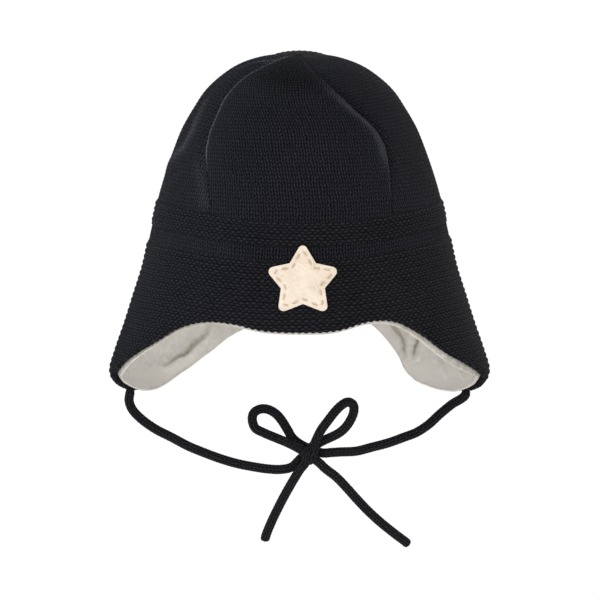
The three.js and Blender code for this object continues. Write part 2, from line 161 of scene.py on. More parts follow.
@dataclass(frozen=True)
class HatForm:
    """Outer form of the hat by angle from the front towards +X and by row from the tip down."""

    height: float = 174.0
    half_width: float = 94.4
    half_depth: float = 79.5
    top_radius: float = 76.0
    top_z: float = 4.4
    tip_lean: float = 10.0
    lining_shows: float = 1.5
    lips: tuple[Lip, ...] = (
        Lip(60, 20, 2.3), Lip(122, 24, 2.6), Lip(-50, 16, -0.9), Lip(-78, 9, 2.6), Lip(-122, 24, 2.6),
    )

    def column(self, index: int, row: Array) -> Array:
        """One column of the sections, at rows that may lie between two of them."""
        return SmoothTable(np.arange(LAST_ROW + 1), SECTIONS[:, index]).at(row)

    @cached_property
    def _rows(self) -> Array:
        """Fine rows for reading the form backwards."""
        return np.linspace(0, LAST_ROW, 4001)

    @cached_property
    def _downs(self) -> Array:
        """Share of the height at each fine row."""
        return self.column(0, self._rows)

    @cached_property
    def _reaches(self) -> Array:
        """Length of cloth from the tip to each fine row, in millimetres.

        Returns:
            The lengths, one for each fine row.
        """
        side = self.point(np.full_like(self._rows, math.pi / 2), self._rows)
        front = self.point(np.zeros_like(self._rows), self._rows)
        steps = sum(np.linalg.norm(np.diff(line, axis=0), axis=1) for line in (side, front)) / 2
        return np.concatenate([[0.0], np.cumsum(steps)])

    def row_at(self, down: Array) -> Array:
        """Row that lies a share of the height below the tip."""
        return np.interp(down, self._downs, self._rows)

    def row_past(self, row: Array, drop: Array) -> Array:
        """Row that lies some millimetres below another one."""
        return self.row_at(self.column(0, row) + drop / self.height)

    def reach(self, row: Array) -> Array:
        """Length of cloth from the tip to a row, in millimetres."""
        return np.interp(row, self._rows, self._reaches)

    def row_reached(self, reach: Array) -> Array:
        """Row that some millimetres of cloth from the tip come to."""
        return np.interp(reach, self._reaches, self._rows)

    def girth(self, row: float) -> float:
        """Length round the hat at a row, in millimetres.

        Args:
            row: The row.

        Returns:
            The length.
        """
        turns = np.linspace(0, TURN, 721)
        line = self.point(turns, np.full_like(turns, row))
        return float(np.linalg.norm(np.diff(line, axis=0), axis=1).sum())

    def point(self, angle: Array, row: Array) -> Array:
        """Points of the outer form.

        Args:
            angle: Angles in radians.
            row: Rows, of the same shape.

        Returns:
            The points in millimetres, with the coordinates last.
        """
        back = -self.half_depth * self.column(2, row) * np.cos(angle)
        up = self.top_radius - self.height * self.column(0, row)
        lean = np.radians(self.tip_lean * self.column(3, row))
        return np.stack([
            self.half_width * self.column(1, row) * np.sin(angle),
            back * np.cos(lean) - up * np.sin(lean),
            self.top_z - self.top_radius + back * np.sin(lean) + up * np.cos(lean),
        ], axis=-1)

    def off(self, angle: Array, row: Array, height: Array) -> Array:
        """Points that stand off the outer form along its normal.

        Args:
            angle: Angles in radians.
            row: Rows, of the same shape.
            height: How far they stand off, in millimetres.

        Returns:
            The points in millimetres, with the coordinates last.
        """
        step = 0.01
        near = np.clip(row, 2 * step, LAST_ROW - step)
        around = self.point(angle + step, near) - self.point(angle - step, near)
        down = self.point(angle, near + step) - self.point(angle, near - step)
        normal = np.cross(down, around)
        normal /= np.linalg.norm(normal, axis=-1, keepdims=True)
        lean = math.radians(self.tip_lean)
        normal[row < step] = (0.0, -math.sin(lean), math.cos(lean))
        return self.point(angle, row) + normal * np.asarray(height)[..., None]

    def rim_row(self, angle: Array) -> Array:
        """Row of the knitted edge at an angle.

        Args:
            angle: Angles in radians.

        Returns:
            The rows.
        """
        degrees = front_degrees(angle)
        places = RIM[:, 0]
        right = SmoothTable(places, RIM[:, 1], True).at(np.abs(degrees))
        left = SmoothTable(places, RIM[:, 2], True).at(np.abs(degrees))
        return self.row_at(np.where(degrees >= 0, right, left))

    def line_row(self, line: Line, angle: Array) -> Array:
        """Row of a line between two stitch patterns at an angle."""
        degrees = front_degrees(angle)
        return self.row_at(SmoothTable(BAND_LINES[:, 0], BAND_LINES[:, line.value], True).at(degrees))

    def lining_row(self, angle: Array) -> Array:
        """Row of the lining's edge at an angle.

        Args:
            angle: Angles in radians.

        Returns:
            The rows.
        """
        degrees = front_degrees(angle)
        shows = self.lining_shows + sum(
            lip.more * np.exp(-(((degrees - lip.degrees) / lip.spread) ** 2)) for lip in self.lips
        )
        return self.row_past(self.rim_row(angle), shows)


FORM = HatForm()


SEAMS = np.array([
    # row, then degrees from the front of the seams: front right, back right, back left, front left
    (0.0, 13.0, 131, 229, 308.0), (2.0, 18.5, 132, 229, 301.0), (3.0, 24.0, 132, 229, 300.0),
    (4.3, 28.5, 133, 229, 302.5), (5.6, 36.0, 133, 228, 305.0), (6.3, 42.0, 134, 228, 306.0),
    (7.0, 45.5, 134, 227, 307.0), (8.0, 46.0, 135, 226, 310.0), (9.0, 43.0, 135, 225, 317.0),
    (10.0, 40.0, 135, 225, 322.0),
])


class Gore(Enum):
    """The gores of the crown, each with the columns of its two seams and its side under the front one."""

    FRONT = (4, 1, 0)
    RIGHT = (1, 2, -1)
    BACK = (2, 3, 0)
    LEFT = (3, 4, 1)

    @property
    def sunk_side(self) -> int:
        """The side that lies under the front gore's edge, 1 or -1, or 0 where neither does."""
        return self.value[2]

    def span(self, row: Array) -> tuple[Array, Array]:
        """Middle and half width of the gore in radians, at rows.

        Args:
            row: The rows.

        Returns:
            The middle and the half width at each row.
        """
        start, end = (SmoothTable(SEAMS[:, 0], SEAMS[:, k]).at(row) for k in self.value[:2])
        start = np.where(start > end, start - 360, start)
        return np.radians((start + end) / 2), np.radians((end - start) / 2)


@dataclass(frozen=True)
class CrownRelief:
    """How the crown's gores bulge between their seams."""

    sink: float = 1.8
    seam_depth: float = 1.1
    seam_half_width: float = 3.2
    front_proud: float = 0.9

    def fade(self, row: Array) -> Array:
        """Share of the relief that shows at a row."""
        return smooth_step(0.3, 3, row) * (1 - smooth_step(8, 10, row))

    def bulge(self, share: Array, row: Array) -> Array:
        """Height of a gore, 0 in its middle and lowest at its seams, where the share is -1 or 1."""
        return -self.sink * self.fade(row) * share**2

    def groove(self, share: Array, row: Array, half: Array, sunk: Array) -> Array:
        """Height of the groove along the seams, deeper on the side that lies under the front gore.

        Args:
            share: Shares of the half width, -1 and 1 at the seams.
            row: Rows.
            half: Half widths of the gore in radians.
            sunk: Where the gore lies under the front one.

        Returns:
            The heights in millimetres, 0 or below.
        """
        arc = (1 - np.abs(share)) * half * FORM.half_width * FORM.column(1, row)
        depth = self.seam_depth + self.front_proud * sunk
        return -depth * self.fade(row) * np.exp(-((arc / self.seam_half_width) ** 2))

    def share(self, angle: Array, row: Array) -> Array:
        """Share of the gore that lies at an angle, 0 in its middle.

        Args:
            angle: Angles in radians.
            row: Rows, of the same shape.

        Returns:
            The shares, from -1 to 1.
        """
        nearest = np.full_like(angle, 2.0)
        for gore in Gore:
            centre, half = gore.span(row)
            share = ((angle - centre + math.pi) % TURN - math.pi) / half
            nearest = np.where(np.abs(share) < np.abs(nearest), share, nearest)
        return np.clip(nearest, -1, 1)


GORES = CrownRelief()


@dataclass(frozen=True)
class Courses:
    """Courses of points down the outside of a wall, round its edge and up its inside.

    Each array has one value per course: the share of the way from the top to the edge, the
    millimetres past the edge, the base height off the form, and the share of the relief that shows.
    """

    share: Array
    past: Array
    height: Array
    relief: Array

    @classmethod
    def wall(
        cls, outside: int, inside: int, proud: float, thickness: float, roll: float, closed: bool = True
    ) -> "Courses":
        """Courses of a wall with a rounded edge.

        Args:
            outside: Courses down the outside.
            inside: Courses up the inside.
            proud: Height of the outside off the form.
            thickness: How far the inside lies below the form.
            roll: How far the rounded edge comes past the edge's row.
            closed: Whether the top is rounded too, or left as two poles.

        Returns:
            The courses, which end where they start if closed.
        """
        turn = np.linspace(0, math.pi, 8)[1:-1]
        middle, radius = (proud - thickness) / 2, (proud + thickness) / 2
        down, up = np.linspace(0, 1, outside + 1), np.linspace(1, 0, inside + 1)
        parts = [
            (down, 0 * down, proud + 0 * down, 1 + 0 * down),
            (1 + 0 * turn, roll * np.sin(turn), middle + radius * np.cos(turn), 1 - turn / math.pi),
            (up, 0 * up, 0 * up - thickness, 0 * up),
        ]
        if closed:
            back = (0 * turn, -roll * np.sin(turn), middle - radius * np.cos(turn), turn / math.pi)
            parts += [back, tuple(np.array([part[0]]) for part in parts[0])]
        return cls(*(np.concatenate(column) for column in zip(*parts)))


Layout = Callable[[Array, Array], tuple[Array, ...]]


@dataclass(frozen=True)
class GridSkin:
    """A skin made from Blender's own grid, laid out over a surface and then closed."""

    name: str
    across: int
    down: int
    join: float = 2e-6

    def build(self, layout: Layout, close_ends: bool = False) -> bpy.types.Object:
        """Makes the skin.

        Args:
            layout: Takes the column and the row number of each grid point, and gives the points in
            millimetres, the pattern coordinates and, where highlights and shade are painted on, how much.
            close_ends: Whether the openings at the first and last column are closed.

        Returns:
            The object, in place and linked to the scene.
        """
        shape = bmesh.new()
        shape.loops.layers.uv.new("pattern")
        bmesh.ops.create_grid(shape, x_segments=self.across, y_segments=self.down, size=0.5, calc_uvs=True)
        mesh = bpy.data.meshes.new(self.name)
        shape.to_mesh(mesh)
        flat = np.empty(len(mesh.vertices) * 3, np.float32)
        mesh.vertices.foreach_get("co", flat)
        flat = flat.reshape(-1, 3)
        column = np.rint((flat[:, 0] + 0.5) * self.across).astype(int)
        row = np.rint((0.5 - flat[:, 1]) * self.down).astype(int)
        points, pattern, *with_painted_light = layout(column, row)
        mesh.vertices.foreach_set("co", (points * MM).astype(np.float32).ravel())
        # Painted highlights and shade, kept on the mesh for the knit and jersey materials to read.
        for painted_light in with_painted_light:
            mesh.attributes.new("painted_light", "FLOAT", "POINT").data.foreach_set("value", painted_light.astype(np.float32))
        corners = np.empty(len(mesh.loops), np.int32)
        mesh.loops.foreach_get("vertex_index", corners)
        mesh.uv_layers[0].data.foreach_set("uv", pattern[corners].astype(np.float32).ravel())
        shape.clear()
        shape.from_mesh(mesh)
        bmesh.ops.remove_doubles(shape, verts=shape.verts, dist=self.join)
        if close_ends:
            self.close(shape)
        bmesh.ops.recalc_face_normals(shape, faces=shape.faces)
        for face in shape.faces:
            face.smooth = True
        shape.to_mesh(mesh)
        shape.free()
        piece = bpy.data.objects.new(self.name, mesh)
        bpy.context.scene.collection.objects.link(piece)
        return piece

    def close(self, shape: bmesh.types.BMesh) -> None:
        """Closes each opening with a strip of faces between its two sides, from its highest point down.

        Args:
            shape: The shape, which keeps no opening.
        """
        waiting = dict.fromkeys(edge for edge in shape.edges if edge.is_boundary)
        while waiting:
            edge = next(iter(waiting))
            del waiting[edge]
            ring = list(edge.verts)
            while ring[-1] is not ring[0]:
                edge = next(edge for edge in ring[-1].link_edges if edge in waiting)
                del waiting[edge]
                ring.append(edge.other_vert(ring[-1]))
            top = max(range(len(ring) - 1), key=lambda k: ring[k].co.z)
            ring = ring[top:-1] + ring[:top]
            ahead, behind = 1, len(ring) - 1
            shape.faces.new((ring[0], ring[ahead], ring[behind]))
            while behind - ahead > 1:
                step_ahead = (ring[ahead + 1].co - ring[behind].co).length
                step_behind = (ring[ahead].co - ring[behind - 1].co).length
                third = ahead + 1 if step_ahead < step_behind else behind - 1
                shape.faces.new((ring[ahead], ring[third], ring[behind]))
                ahead, behind = (third, behind) if step_ahead < step_behind else (ahead, third)


# ---- Finishes -------------------------------------------------------------------------------------


class NodeSketch:
    """Short hand for the nodes of one material."""

    def __init__(self, name: str) -> None:
        """Starts a material with an empty node tree.

        Args:
            name: The material's name.
        """
        self.material = bpy.data.materials.new(name)
        self.material.use_nodes = True
        self.tree = self.material.node_tree
        self.tree.nodes.clear()

    def add(self, kind: str, settings: dict[str, object] | None = None, **inputs: object) -> bpy.types.Node:
        """Adds a node.

        Args:
            kind: Blender's name of the node type.
            settings: Values of the node's own options.
            inputs: Values or sockets for its inputs, named with _ for each space.

        Returns:
            The node.
        """
        node = self.tree.nodes.new(kind)
        for option, value in (settings or {}).items():
            setattr(node, option, value)
        for label, value in inputs.items():
            self.feed(node.inputs[label.replace("_", " ")], value)
        return node

    def feed(self, target: Socket, value: object) -> None:
        """Links a socket into another one, or sets the value on it.

        Args:
            target: The input.
            value: A socket to link to it, or its value.
        """
        if isinstance(value, bpy.types.NodeSocket):
            self.tree.links.new(value, target)
        else:
            target.default_value = value

    def math(self, operation: str, *values: object) -> Socket:
        """Adds a Math node on up to three values and gives its result.

        Args:
            operation: Blender's name of the operation.
            values: Numbers or sockets, in order.

        Returns:
            The result.
        """
        node = self.add("ShaderNodeMath", {"operation": operation})
        for target, value in zip(node.inputs, values):
            self.feed(target, value)
        return node.outputs[0]

    def noise(self, size: float, detail: float, rough: float = 0.5) -> Socket:
        """Noise on the object's own coordinates, with features of a size in millimetres.

        Args:
            size: Size of its features.
            detail: How many finer layers it has.
            rough: How strong each finer layer is.

        Returns:
            The noise, from 0 to 1.
        """
        where = self.add("ShaderNodeTexCoord").outputs["Object"]
        scale = 1 / (size * MM)
        node = self.add("ShaderNodeTexNoise", Vector=where, Scale=scale, Detail=detail, Roughness=rough)
        return node.outputs["Fac"]

    def pattern(self, wobble: float) -> tuple[Socket, Socket]:
        """The piece's own pattern coordinates, across and down, with the yarn's uneven run.

        Args:
            wobble: How far the yarn wanders, in stitches.

        Returns:
            The coordinates across and down.
        """
        where = self.add("ShaderNodeUVMap", {"uv_map": "pattern"}).outputs["UV"]
        split = self.add("ShaderNodeSeparateXYZ", Vector=where)
        uneven = (self.noise(size, 2.0) for size in (4.0, 5.0))
        shifts = (self.math("MULTIPLY_ADD", noise, 2 * wobble, -wobble) for noise in uneven)
        return tuple(self.math("ADD", split.outputs[axis], shift) for axis, shift in zip("XY", shifts))

    def shades(self, factor: Socket, stops: Sequence[tuple[float, tuple[float, float, float]]]) -> Socket:
        """Colours along a ramp, each stop a place and a colour.

        Args:
            factor: The place on the ramp.
            stops: Places and colours, in order.

        Returns:
            The colour.
        """
        ramp = self.add("ShaderNodeValToRGB", Fac=factor)
        band = ramp.color_ramp
        while len(band.elements) < len(stops):
            band.elements.new(0.5)
        for element, (place, colour) in zip(band.elements, stops):
            element.position = place
            element.color = (*colour, 1.0)
        return ramp.outputs["Color"]

    def bump(self, height: Socket, depth: float) -> Socket:
        """Normal of a relief whose height goes from 0 to 1 over a depth in millimetres."""
        return self.add("ShaderNodeBump", Height=height, Distance=depth * MM, Strength=1.0).outputs["Normal"]

    def surface(self, **inputs: object) -> bpy.types.Material:
        """Ends the material with its surface shader and gives the material.

        Args:
            inputs: Values or sockets for the shader's inputs.

        Returns:
            The material.
        """
        shader = self.add("ShaderNodeBsdfPrincipled", **inputs)
        output = self.add("ShaderNodeOutputMaterial")
        self.tree.links.new(shader.outputs["BSDF"], output.inputs["Surface"])
        return self.material


class Stitch(Enum):
    """Stitch patterns of the knit."""

    STOCKINETTE = "stockinette"
    GARTER = "garter"


def stitch_height(sketch: NodeSketch, stitch: Stitch) -> Socket:
    """Height of the yarn in a stitch pattern.

    Args:
        sketch: The material's nodes. Its pattern coordinates count stitches across, and rows or
            ridges down.
        stitch: The stitch pattern.

    Returns:
        The height, from 0 in the gaps to 1 on the yarn.
    """
    across, down = sketch.pattern(0.35)
    if stitch is Stitch.STOCKINETTE:
        legs = sketch.math("MULTIPLY", across, 2.0)
        leg = sketch.math("FRACT", legs)
        side = sketch.math("MODULO", sketch.math("FLOOR", legs), 2.0)
        side = sketch.math("ABSOLUTE", side)
        lean = sketch.math("ABSOLUTE", sketch.math("SUBTRACT", leg, side))
        phase = sketch.math("FRACT", sketch.math("MULTIPLY_ADD", lean, -0.85, down))
        strand = sketch.math("POWER", sketch.math("SINE", sketch.math("MULTIPLY", phase, math.pi)), 0.8)
        round_ = sketch.math("POWER", sketch.math("SINE", sketch.math("MULTIPLY", leg, math.pi)), 0.9)
        return sketch.math("MULTIPLY", round_, sketch.math("MULTIPLY_ADD", strand, 0.75, 0.25))
    rows = sketch.math("MULTIPLY", down, 2.0)
    parity = sketch.math("ABSOLUTE", sketch.math("MODULO", sketch.math("FLOOR", rows), 2.0))
    loop = sketch.math("SINE", sketch.math("MULTIPLY", sketch.math("FRACT", rows), math.pi))
    turn = sketch.math("MULTIPLY", sketch.math("MULTIPLY_ADD", parity, 0.5, across), math.pi)
    bead = sketch.math("POWER", sketch.math("ABSOLUTE", sketch.math("COSINE", turn)), 1.6)
    ridge = sketch.math("POWER", loop, 0.8)
    bump = sketch.math("MULTIPLY", ridge, sketch.math("MULTIPLY_ADD", bead, 0.85, 0.15))
    return sketch.math("MULTIPLY", bump, sketch.math("MULTIPLY_ADD", parity, -0.15, 1.0))


@dataclass(frozen=True)
class KnitFinish:
    """Soft dark yarn in a stitch pattern."""

    name: str
    slot: str
    stitch: Stitch
    # The ramp goes from deep, the darkest heather and painted shade in the stitch gaps, through yarn and
    # light, the lighter heather and painted highlight on the stitch tops, to the top stop, the lightest yarn
    # fuzz and mostly painted highlight.
    deep: tuple[float, float, float]
    yarn: tuple[float, float, float]
    light: tuple[float, float, float]
    depth: float
    fuzz_and_highlight: tuple[float, float, float] = (0.0640, 0.0690, 0.0840)
    sheen: float = 0.02

    def make(self) -> bpy.types.Material:
        """Makes the material.

        Returns:
            The material.
        """
        sketch = NodeSketch(self.name)
        height = stitch_height(sketch, self.stitch)
        fibres = sketch.noise(0.35, 4.0, 0.65)
        heather = sketch.noise(1.3, 3.0, 0.7)
        cloudy = sketch.noise(38.0, 2.0)
        # Painted highlights and shade along the seams and creases, read from the mesh.
        painted_light = sketch.add("ShaderNodeAttribute", {"attribute_name": "painted_light"}).outputs["Fac"]
        uneven = sketch.math("MULTIPLY_ADD", cloudy, 0.2, sketch.math("MULTIPLY", heather, 0.5))
        # Darker where the stitch height is low, as painted shade in the gaps, and lighter on the stitch
        # tops.
        knitted = sketch.math("MULTIPLY_ADD", height, 0.6, sketch.math("SUBTRACT", uneven, 0.16))
        tone = sketch.math("MULTIPLY_ADD", painted_light, 0.5, sketch.math("MULTIPLY", knitted, 0.7))
        stops = [(0.12, self.deep), (0.32, self.yarn), (0.58, self.light), (1.0, self.fuzz_and_highlight)]
        colour = sketch.shades(tone, stops)
        relief = sketch.math("MULTIPLY_ADD", fibres, 0.22, height)
        return sketch.surface(
            Base_Color=colour,
            Roughness=0.92,
            Normal=sketch.bump(relief, self.depth),
            Specular_IOR_Level=0.05,
            Sheen_Weight=self.sheen,
            Sheen_Roughness=0.38,
            Sheen_Tint=(0.85, 0.90, 1.0, 1.0),
        )


@dataclass(frozen=True)
class JerseyFinish:
    """Pale cotton jersey of fine stitches."""

    name: str = "pale_jersey"
    slot: str = "pale_jersey"
    # The crease colour is painted shade for the folds and the outer rim strip; painted light on the lower
    # flaps moves the cloth towards light.
    crease: tuple[float, float, float] = (0.340, 0.305, 0.260)
    shade: tuple[float, float, float] = (0.595, 0.566, 0.515)
    cloth: tuple[float, float, float] = (0.664, 0.638, 0.592)
    light: tuple[float, float, float] = (0.860, 0.835, 0.785)
    depth: float = 0.16

    def make(self) -> bpy.types.Material:
        """Makes the material.

        Returns:
            The material.
        """
        sketch = NodeSketch(self.name)
        height = stitch_height(sketch, Stitch.STOCKINETTE)
        soft = sketch.noise(9.0, 3.0, 0.6)
        fluff = sketch.noise(0.5, 4.0, 0.7)
        # Painted shade in the folds and on the rim, and painted light on the lower flaps, read from the
        # mesh.
        painted_light = sketch.add("ShaderNodeAttribute", {"attribute_name": "painted_light"}).outputs["Fac"]
        mottled = sketch.noise(2.4, 3.0, 0.6)
        cloth = sketch.math("MULTIPLY_ADD", soft, 0.5, sketch.math("MULTIPLY_ADD", mottled, 0.6, -0.20))
        # Stitch height and painted light: darker in the stitch gaps as painted shade, and by the mesh's
        # painted light.
        with_painted_light = sketch.math("MULTIPLY_ADD", height, 0.3, sketch.math("MULTIPLY", painted_light, 0.5))
        tone = sketch.math("ADD", cloth, with_painted_light)
        stops = [(0.0, self.crease), (0.24, self.shade), (0.5, self.cloth), (0.8, self.light)]
        colour = sketch.shades(tone, stops)
        relief = sketch.math("MULTIPLY_ADD", fluff, 0.6, height)
        return sketch.surface(
            Base_Color=colour,
            Roughness=0.9,
            Normal=sketch.bump(relief, self.depth),
            Specular_IOR_Level=0.25,
            Sheen_Weight=0.2,
            Sheen_Roughness=0.5,
            Sheen_Tint=(1.0, 0.98, 0.94, 1.0),
            Subsurface_Weight=0.08,
            Subsurface_Scale=0.002,
        )


@dataclass(frozen=True)
class FeltFinish:
    """Thick cream felt with matted fibres."""

    name: str = "cream_felt"
    slot: str = "cream_felt"
    shade: tuple[float, float, float] = (0.500, 0.410, 0.315)
    felt: tuple[float, float, float] = (0.620, 0.530, 0.430)
    light: tuple[float, float, float] = (0.700, 0.625, 0.530)
    depth: float = 0.30

    def make(self) -> bpy.types.Material:
        """Makes the material.

        Returns:
            The material.
        """
        sketch = NodeSketch(self.name)
        matted = sketch.noise(1.1, 6.0, 0.72)
        fibres = sketch.noise(0.28, 5.0, 0.7)
        cloudy = sketch.noise(7.0, 2.0)
        tone = sketch.math("MULTIPLY_ADD", cloudy, 0.4, sketch.math("MULTIPLY", matted, 0.6))
        colour = sketch.shades(tone, [(0.3, self.shade), (0.5, self.felt), (0.72, self.light)])
        relief = sketch.math("MULTIPLY_ADD", fibres, 0.5, matted)
        return sketch.surface(
            Base_Color=colour,
            Roughness=0.95,
            Normal=sketch.bump(relief, self.depth),
            Specular_IOR_Level=0.2,
            Sheen_Weight=0.3,
            Sheen_Roughness=0.55,
            Sheen_Tint=(1.0, 0.95, 0.88, 1.0),
        )


@dataclass(frozen=True)
class ThreadFinish:
    """Sewing thread of the patch, a little darker than its felt."""

    name: str = "oat_thread"

    def make(self) -> bpy.types.Material:
        """Makes the material.

        Returns:
            The material.
        """
        sketch = NodeSketch(self.name)
        twist = sketch.noise(0.4, 3.0, 0.6)
        colour = sketch.shades(twist, [(0.3, (0.36, 0.27, 0.18)), (0.7, (0.55, 0.44, 0.32))])
        return sketch.surface(
            Base_Color=colour, Roughness=0.7, Normal=sketch.bump(twist, 0.1), Specular_IOR_Level=0.35
        )


CROWN_KNIT = KnitFinish(
    name="navy_stockinette", slot="navy_knit", stitch=Stitch.STOCKINETTE, depth=0.65,
    deep=(0.0010, 0.0010, 0.0015), yarn=(0.0062, 0.0063, 0.0084), light=(0.0218, 0.0220, 0.0266),
)
RIB_KNIT = KnitFinish(
    name="navy_garter", slot="navy_rib", stitch=Stitch.GARTER, depth=0.60,
    deep=(0.0014, 0.0014, 0.0020), yarn=(0.0088, 0.0088, 0.0110), light=(0.0228, 0.0229, 0.0266),
)
CORD_KNIT = KnitFinish(
    name="navy_cord", slot="navy_cord", stitch=Stitch.STOCKINETTE, depth=0.40,
    deep=(0.0016, 0.0016, 0.0021), yarn=(0.0080, 0.0080, 0.0096), light=(0.0206, 0.0204, 0.0233),
)


def dress(piece: bpy.types.Object, material: bpy.types.Material, slot: str, *nodes: str) -> bpy.types.Object:
    """Gives a piece its material and its body, and hides the solids that it stands for.

    Args:
        piece: The piece.
        material: Its material.
        slot: Not used.
        nodes: The solids that it replaces.

    Returns:
        The piece.
    """
    piece.data.materials.append(material)
    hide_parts(*nodes)
    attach(piece, BODY)
    LOG.info("%s: %d faces, stands for %s", piece.name, len(piece.data.polygons), ", ".join(nodes))
    return piece


# ---- Sub-assemblies -------------------------------------------------------------------------------


@dataclass
class Ties:
    """The two knitted ties and the bow that joins them."""

    diameter: float = 4.7
    sides: int = 30
    step: float = 0.5
    root_gap: float = 0.6
    root_inset: float = 1.2
    root_length: float = 1.8
    sewn_inset: float = 2.4
    sewn_length: float = 1.6
    sewn_radius: float = 1.3
    sewn_taper: float = 6.0
    knot_radius: float = 5.2
    knot_gap: float = 0.34
    knot_centre: tuple[float, float, float] = (5.7, 8.0, -198.9)
    front: float = -3.0
    back: float = 3.0
    wales: int = 5
    course: float = 1.9
    relief: float = 0.16
    left_strap: Sequence[tuple[float, float, float]] = field(default_factory=lambda: [
        (-85.8, 13.5, -172.9), (-84.2, 13.4, -177.2), (-79.8, 13.2, -181.9), (-72.7, 13.0, -187.0),
        (-64.3, 12.7, -191.3), (-56.2, 12.5, -195.6), (-48.2, 12.2, -198.9), (-40.1, 12.0, -201.9),
        (-32.0, 11.8, -204.3), (-24.0, 11.5, -205.9), (-15.9, 11.3, -207.1), (-9.3, 11.1, -207.3),
        (-4.0, 11.0, -206.1),
    ])
    right_strap: Sequence[tuple[float, float, float]] = field(default_factory=lambda: [
        (76.6, 18.4, -175.4), (70.7, 17.5, -180.2), (65.2, 16.7, -185.2), (59.1, 15.9, -189.1),
        (52.7, 15.1, -191.5), (44.6, 14.2, -194.3), (36.6, 13.3, -196.3), (28.5, 12.3, -198.2),
        (20.4, 11.4, -198.5), (16.4, 11.0, -198.7),
    ])
    left_loop: Sequence[tuple[float, float, float]] = field(default_factory=lambda: [
        (-3.5, 11.0, -191.4), (-6.0, 10.5, -187.2), (-9.2, 9.8, -181.9), (-12.2, 9.3, -178.6),
        (-16.0, 8.8, -176.5), (-19.7, 8.4, -176.3), (-23.0, 7.9, -178.2), (-23.8, 7.6, -181.5),
        (-22.3, 7.1, -185.8), (-17.9, 6.5, -188.2), (-11.8, 5.8, -190.7), (-5.8, 5.0, -193.1),
    ])
    right_loop: Sequence[tuple[float, float, float]] = field(default_factory=lambda: [
        (8.9, 5.0, -190.3), (10.8, 5.5, -186.6), (14.3, 6.3, -181.9), (18.1, 7.0, -177.1),
        (21.6, 7.7, -173.9), (24.5, 8.1, -172.7), (27.0, 8.5, -174.3), (27.2, 8.9, -177.9),
        (24.7, 9.6, -183.6), (20.6, 10.4, -188.2),
    ])
    left_tail: Sequence[tuple[float, float, float]] = field(default_factory=lambda: [
        (0.2, 5.0, -206.5), (-2.5, 5.3, -210.9), (-6.0, 5.6, -217.0), (-9.3, 5.9, -223.2),
        (-12.3, 6.3, -229.3), (-15.1, 6.6, -235.5), (-17.1, 6.9, -240.9), (-17.6, 7.0, -243.6),
    ])
    right_tail: Sequence[tuple[float, float, float]] = field(default_factory=lambda: [
        (12.8, 5.0, -206.0), (18.4, 5.2, -210.4), (23.4, 5.5, -215.6), (28.7, 5.8, -221.6),
        (34.5, 6.1, -227.8), (41.1, 6.4, -233.9), (48.1, 6.7, -239.6), (53.2, 6.9, -243.5),
        (55.4, 7.0, -245.5),
    ])

    def build(self) -> list[bpy.types.Object]:
        """Returns:
            The knot and both ties.
        """
        material = CORD_KNIT.make()
        knot = self.skin("bow_wrap", self.wrap_line(), self.diameter / 2)
        dress(knot, material, CORD_KNIT.slot, "bow_knot")
        left = self.line([
            *self.root(-100), *self.left_strap, self.port(208, self.back),
            self.port(54, self.back), *reversed(self.right_loop), self.port(72, self.front),
            self.port(236, self.front), *self.left_tail,
        ])
        right = self.line([
            *self.root(102), *self.right_strap, self.port(0, self.back),
            self.port(138, self.back), *self.left_loop, self.port(155, self.front),
            self.port(314, self.front), *self.right_tail,
        ])
        pieces = [knot]
        for name, line, nodes in (
            ("tie_left", left, ("tie_strap_left", "tie_loop_right", "tie_tail_left")),
            ("tie_right", right, ("tie_strap_right", "tie_loop_left", "tie_tail_right")),
        ):
            tie = dress(self.skin(name, line, self.sewn_radius), material, CORD_KNIT.slot, *nodes)
            pieces.append(tie)
        return pieces

    def root(self, degrees: float) -> list[tuple[float, float, float]]:
        """Start of a tie, sewn between the knit and the lining of a flap, one point below the other.

        Args:
            degrees: Where on the edge, in degrees from the front towards +X.

        Returns:
            The points in millimetres, from the top down.
        """
        angle = np.array([math.radians(degrees)])
        rim = FORM.off(angle, FORM.rim_row(angle), np.array([-self.root_inset]))[0]
        sewn = FORM.off(angle, FORM.rim_row(angle), np.array([-self.sewn_inset]))[0]
        edge = FORM.off(angle, FORM.lining_row(angle), np.array([-3.0]))[0]
        below = edge[2] - self.root_gap - self.root_length / 2
        return [(sewn[0], sewn[1], sewn[2] + self.sewn_length), (rim[0], rim[1], below)]

    def port(self, degrees: float, layer: float) -> tuple[float, float, float]:
        """Point at the knot's side where a stretch of tie enters it.

        Args:
            degrees: Where round the knot, seen from the front.
            layer: How far behind the knot's middle, in millimetres.

        Returns:
            The point in millimetres.
        """
        turn = math.radians(degrees)
        reach = self.knot_radius + self.knot_gap
        x, y, z = self.knot_centre
        return (x + reach * math.cos(turn), y + layer, z + reach * math.sin(turn))

    def line(self, points: Sequence[tuple[float, float, float]]) -> Array:
        """Smooth line through points.

        Args:
            points: The points in millimetres.

        Returns:
            Points along the line, one step apart.
        """
        given = np.asarray(points, float)
        given = np.vstack([2 * given[0] - given[1], given, 2 * given[-1] - given[-2]])
        share = np.linspace(0, 1, 24, endpoint=False)[:, None]
        dense = []
        for before, start, end, after in zip(given, given[1:], given[2:], given[3:]):
            gaps = [max(float(np.linalg.norm(b - a)) ** 0.5, 1e-3) for a, b in (
                (before, start), (start, end), (end, after))]
            rise = end - start
            leave = (start - before) / gaps[0] - (end - before) / (gaps[0] + gaps[1]) + rise / gaps[1]
            arrive = rise / gaps[1] - (after - start) / (gaps[1] + gaps[2]) + (after - end) / gaps[2]
            leave, arrive = leave * gaps[1], arrive * gaps[1]
            dense.append(start + share * (leave + share * (
                3 * rise - 2 * leave - arrive + share * (leave + arrive - 2 * rise))))
        dense = np.vstack([*dense, given[-2][None]])
        reach = np.concatenate([[0], np.cumsum(np.linalg.norm(np.diff(dense, axis=0), axis=1))])
        places = np.linspace(0, reach[-1], round(reach[-1] / self.step) + 1)
        return np.stack([np.interp(places, reach, dense[:, axis]) for axis in range(3)], axis=1)

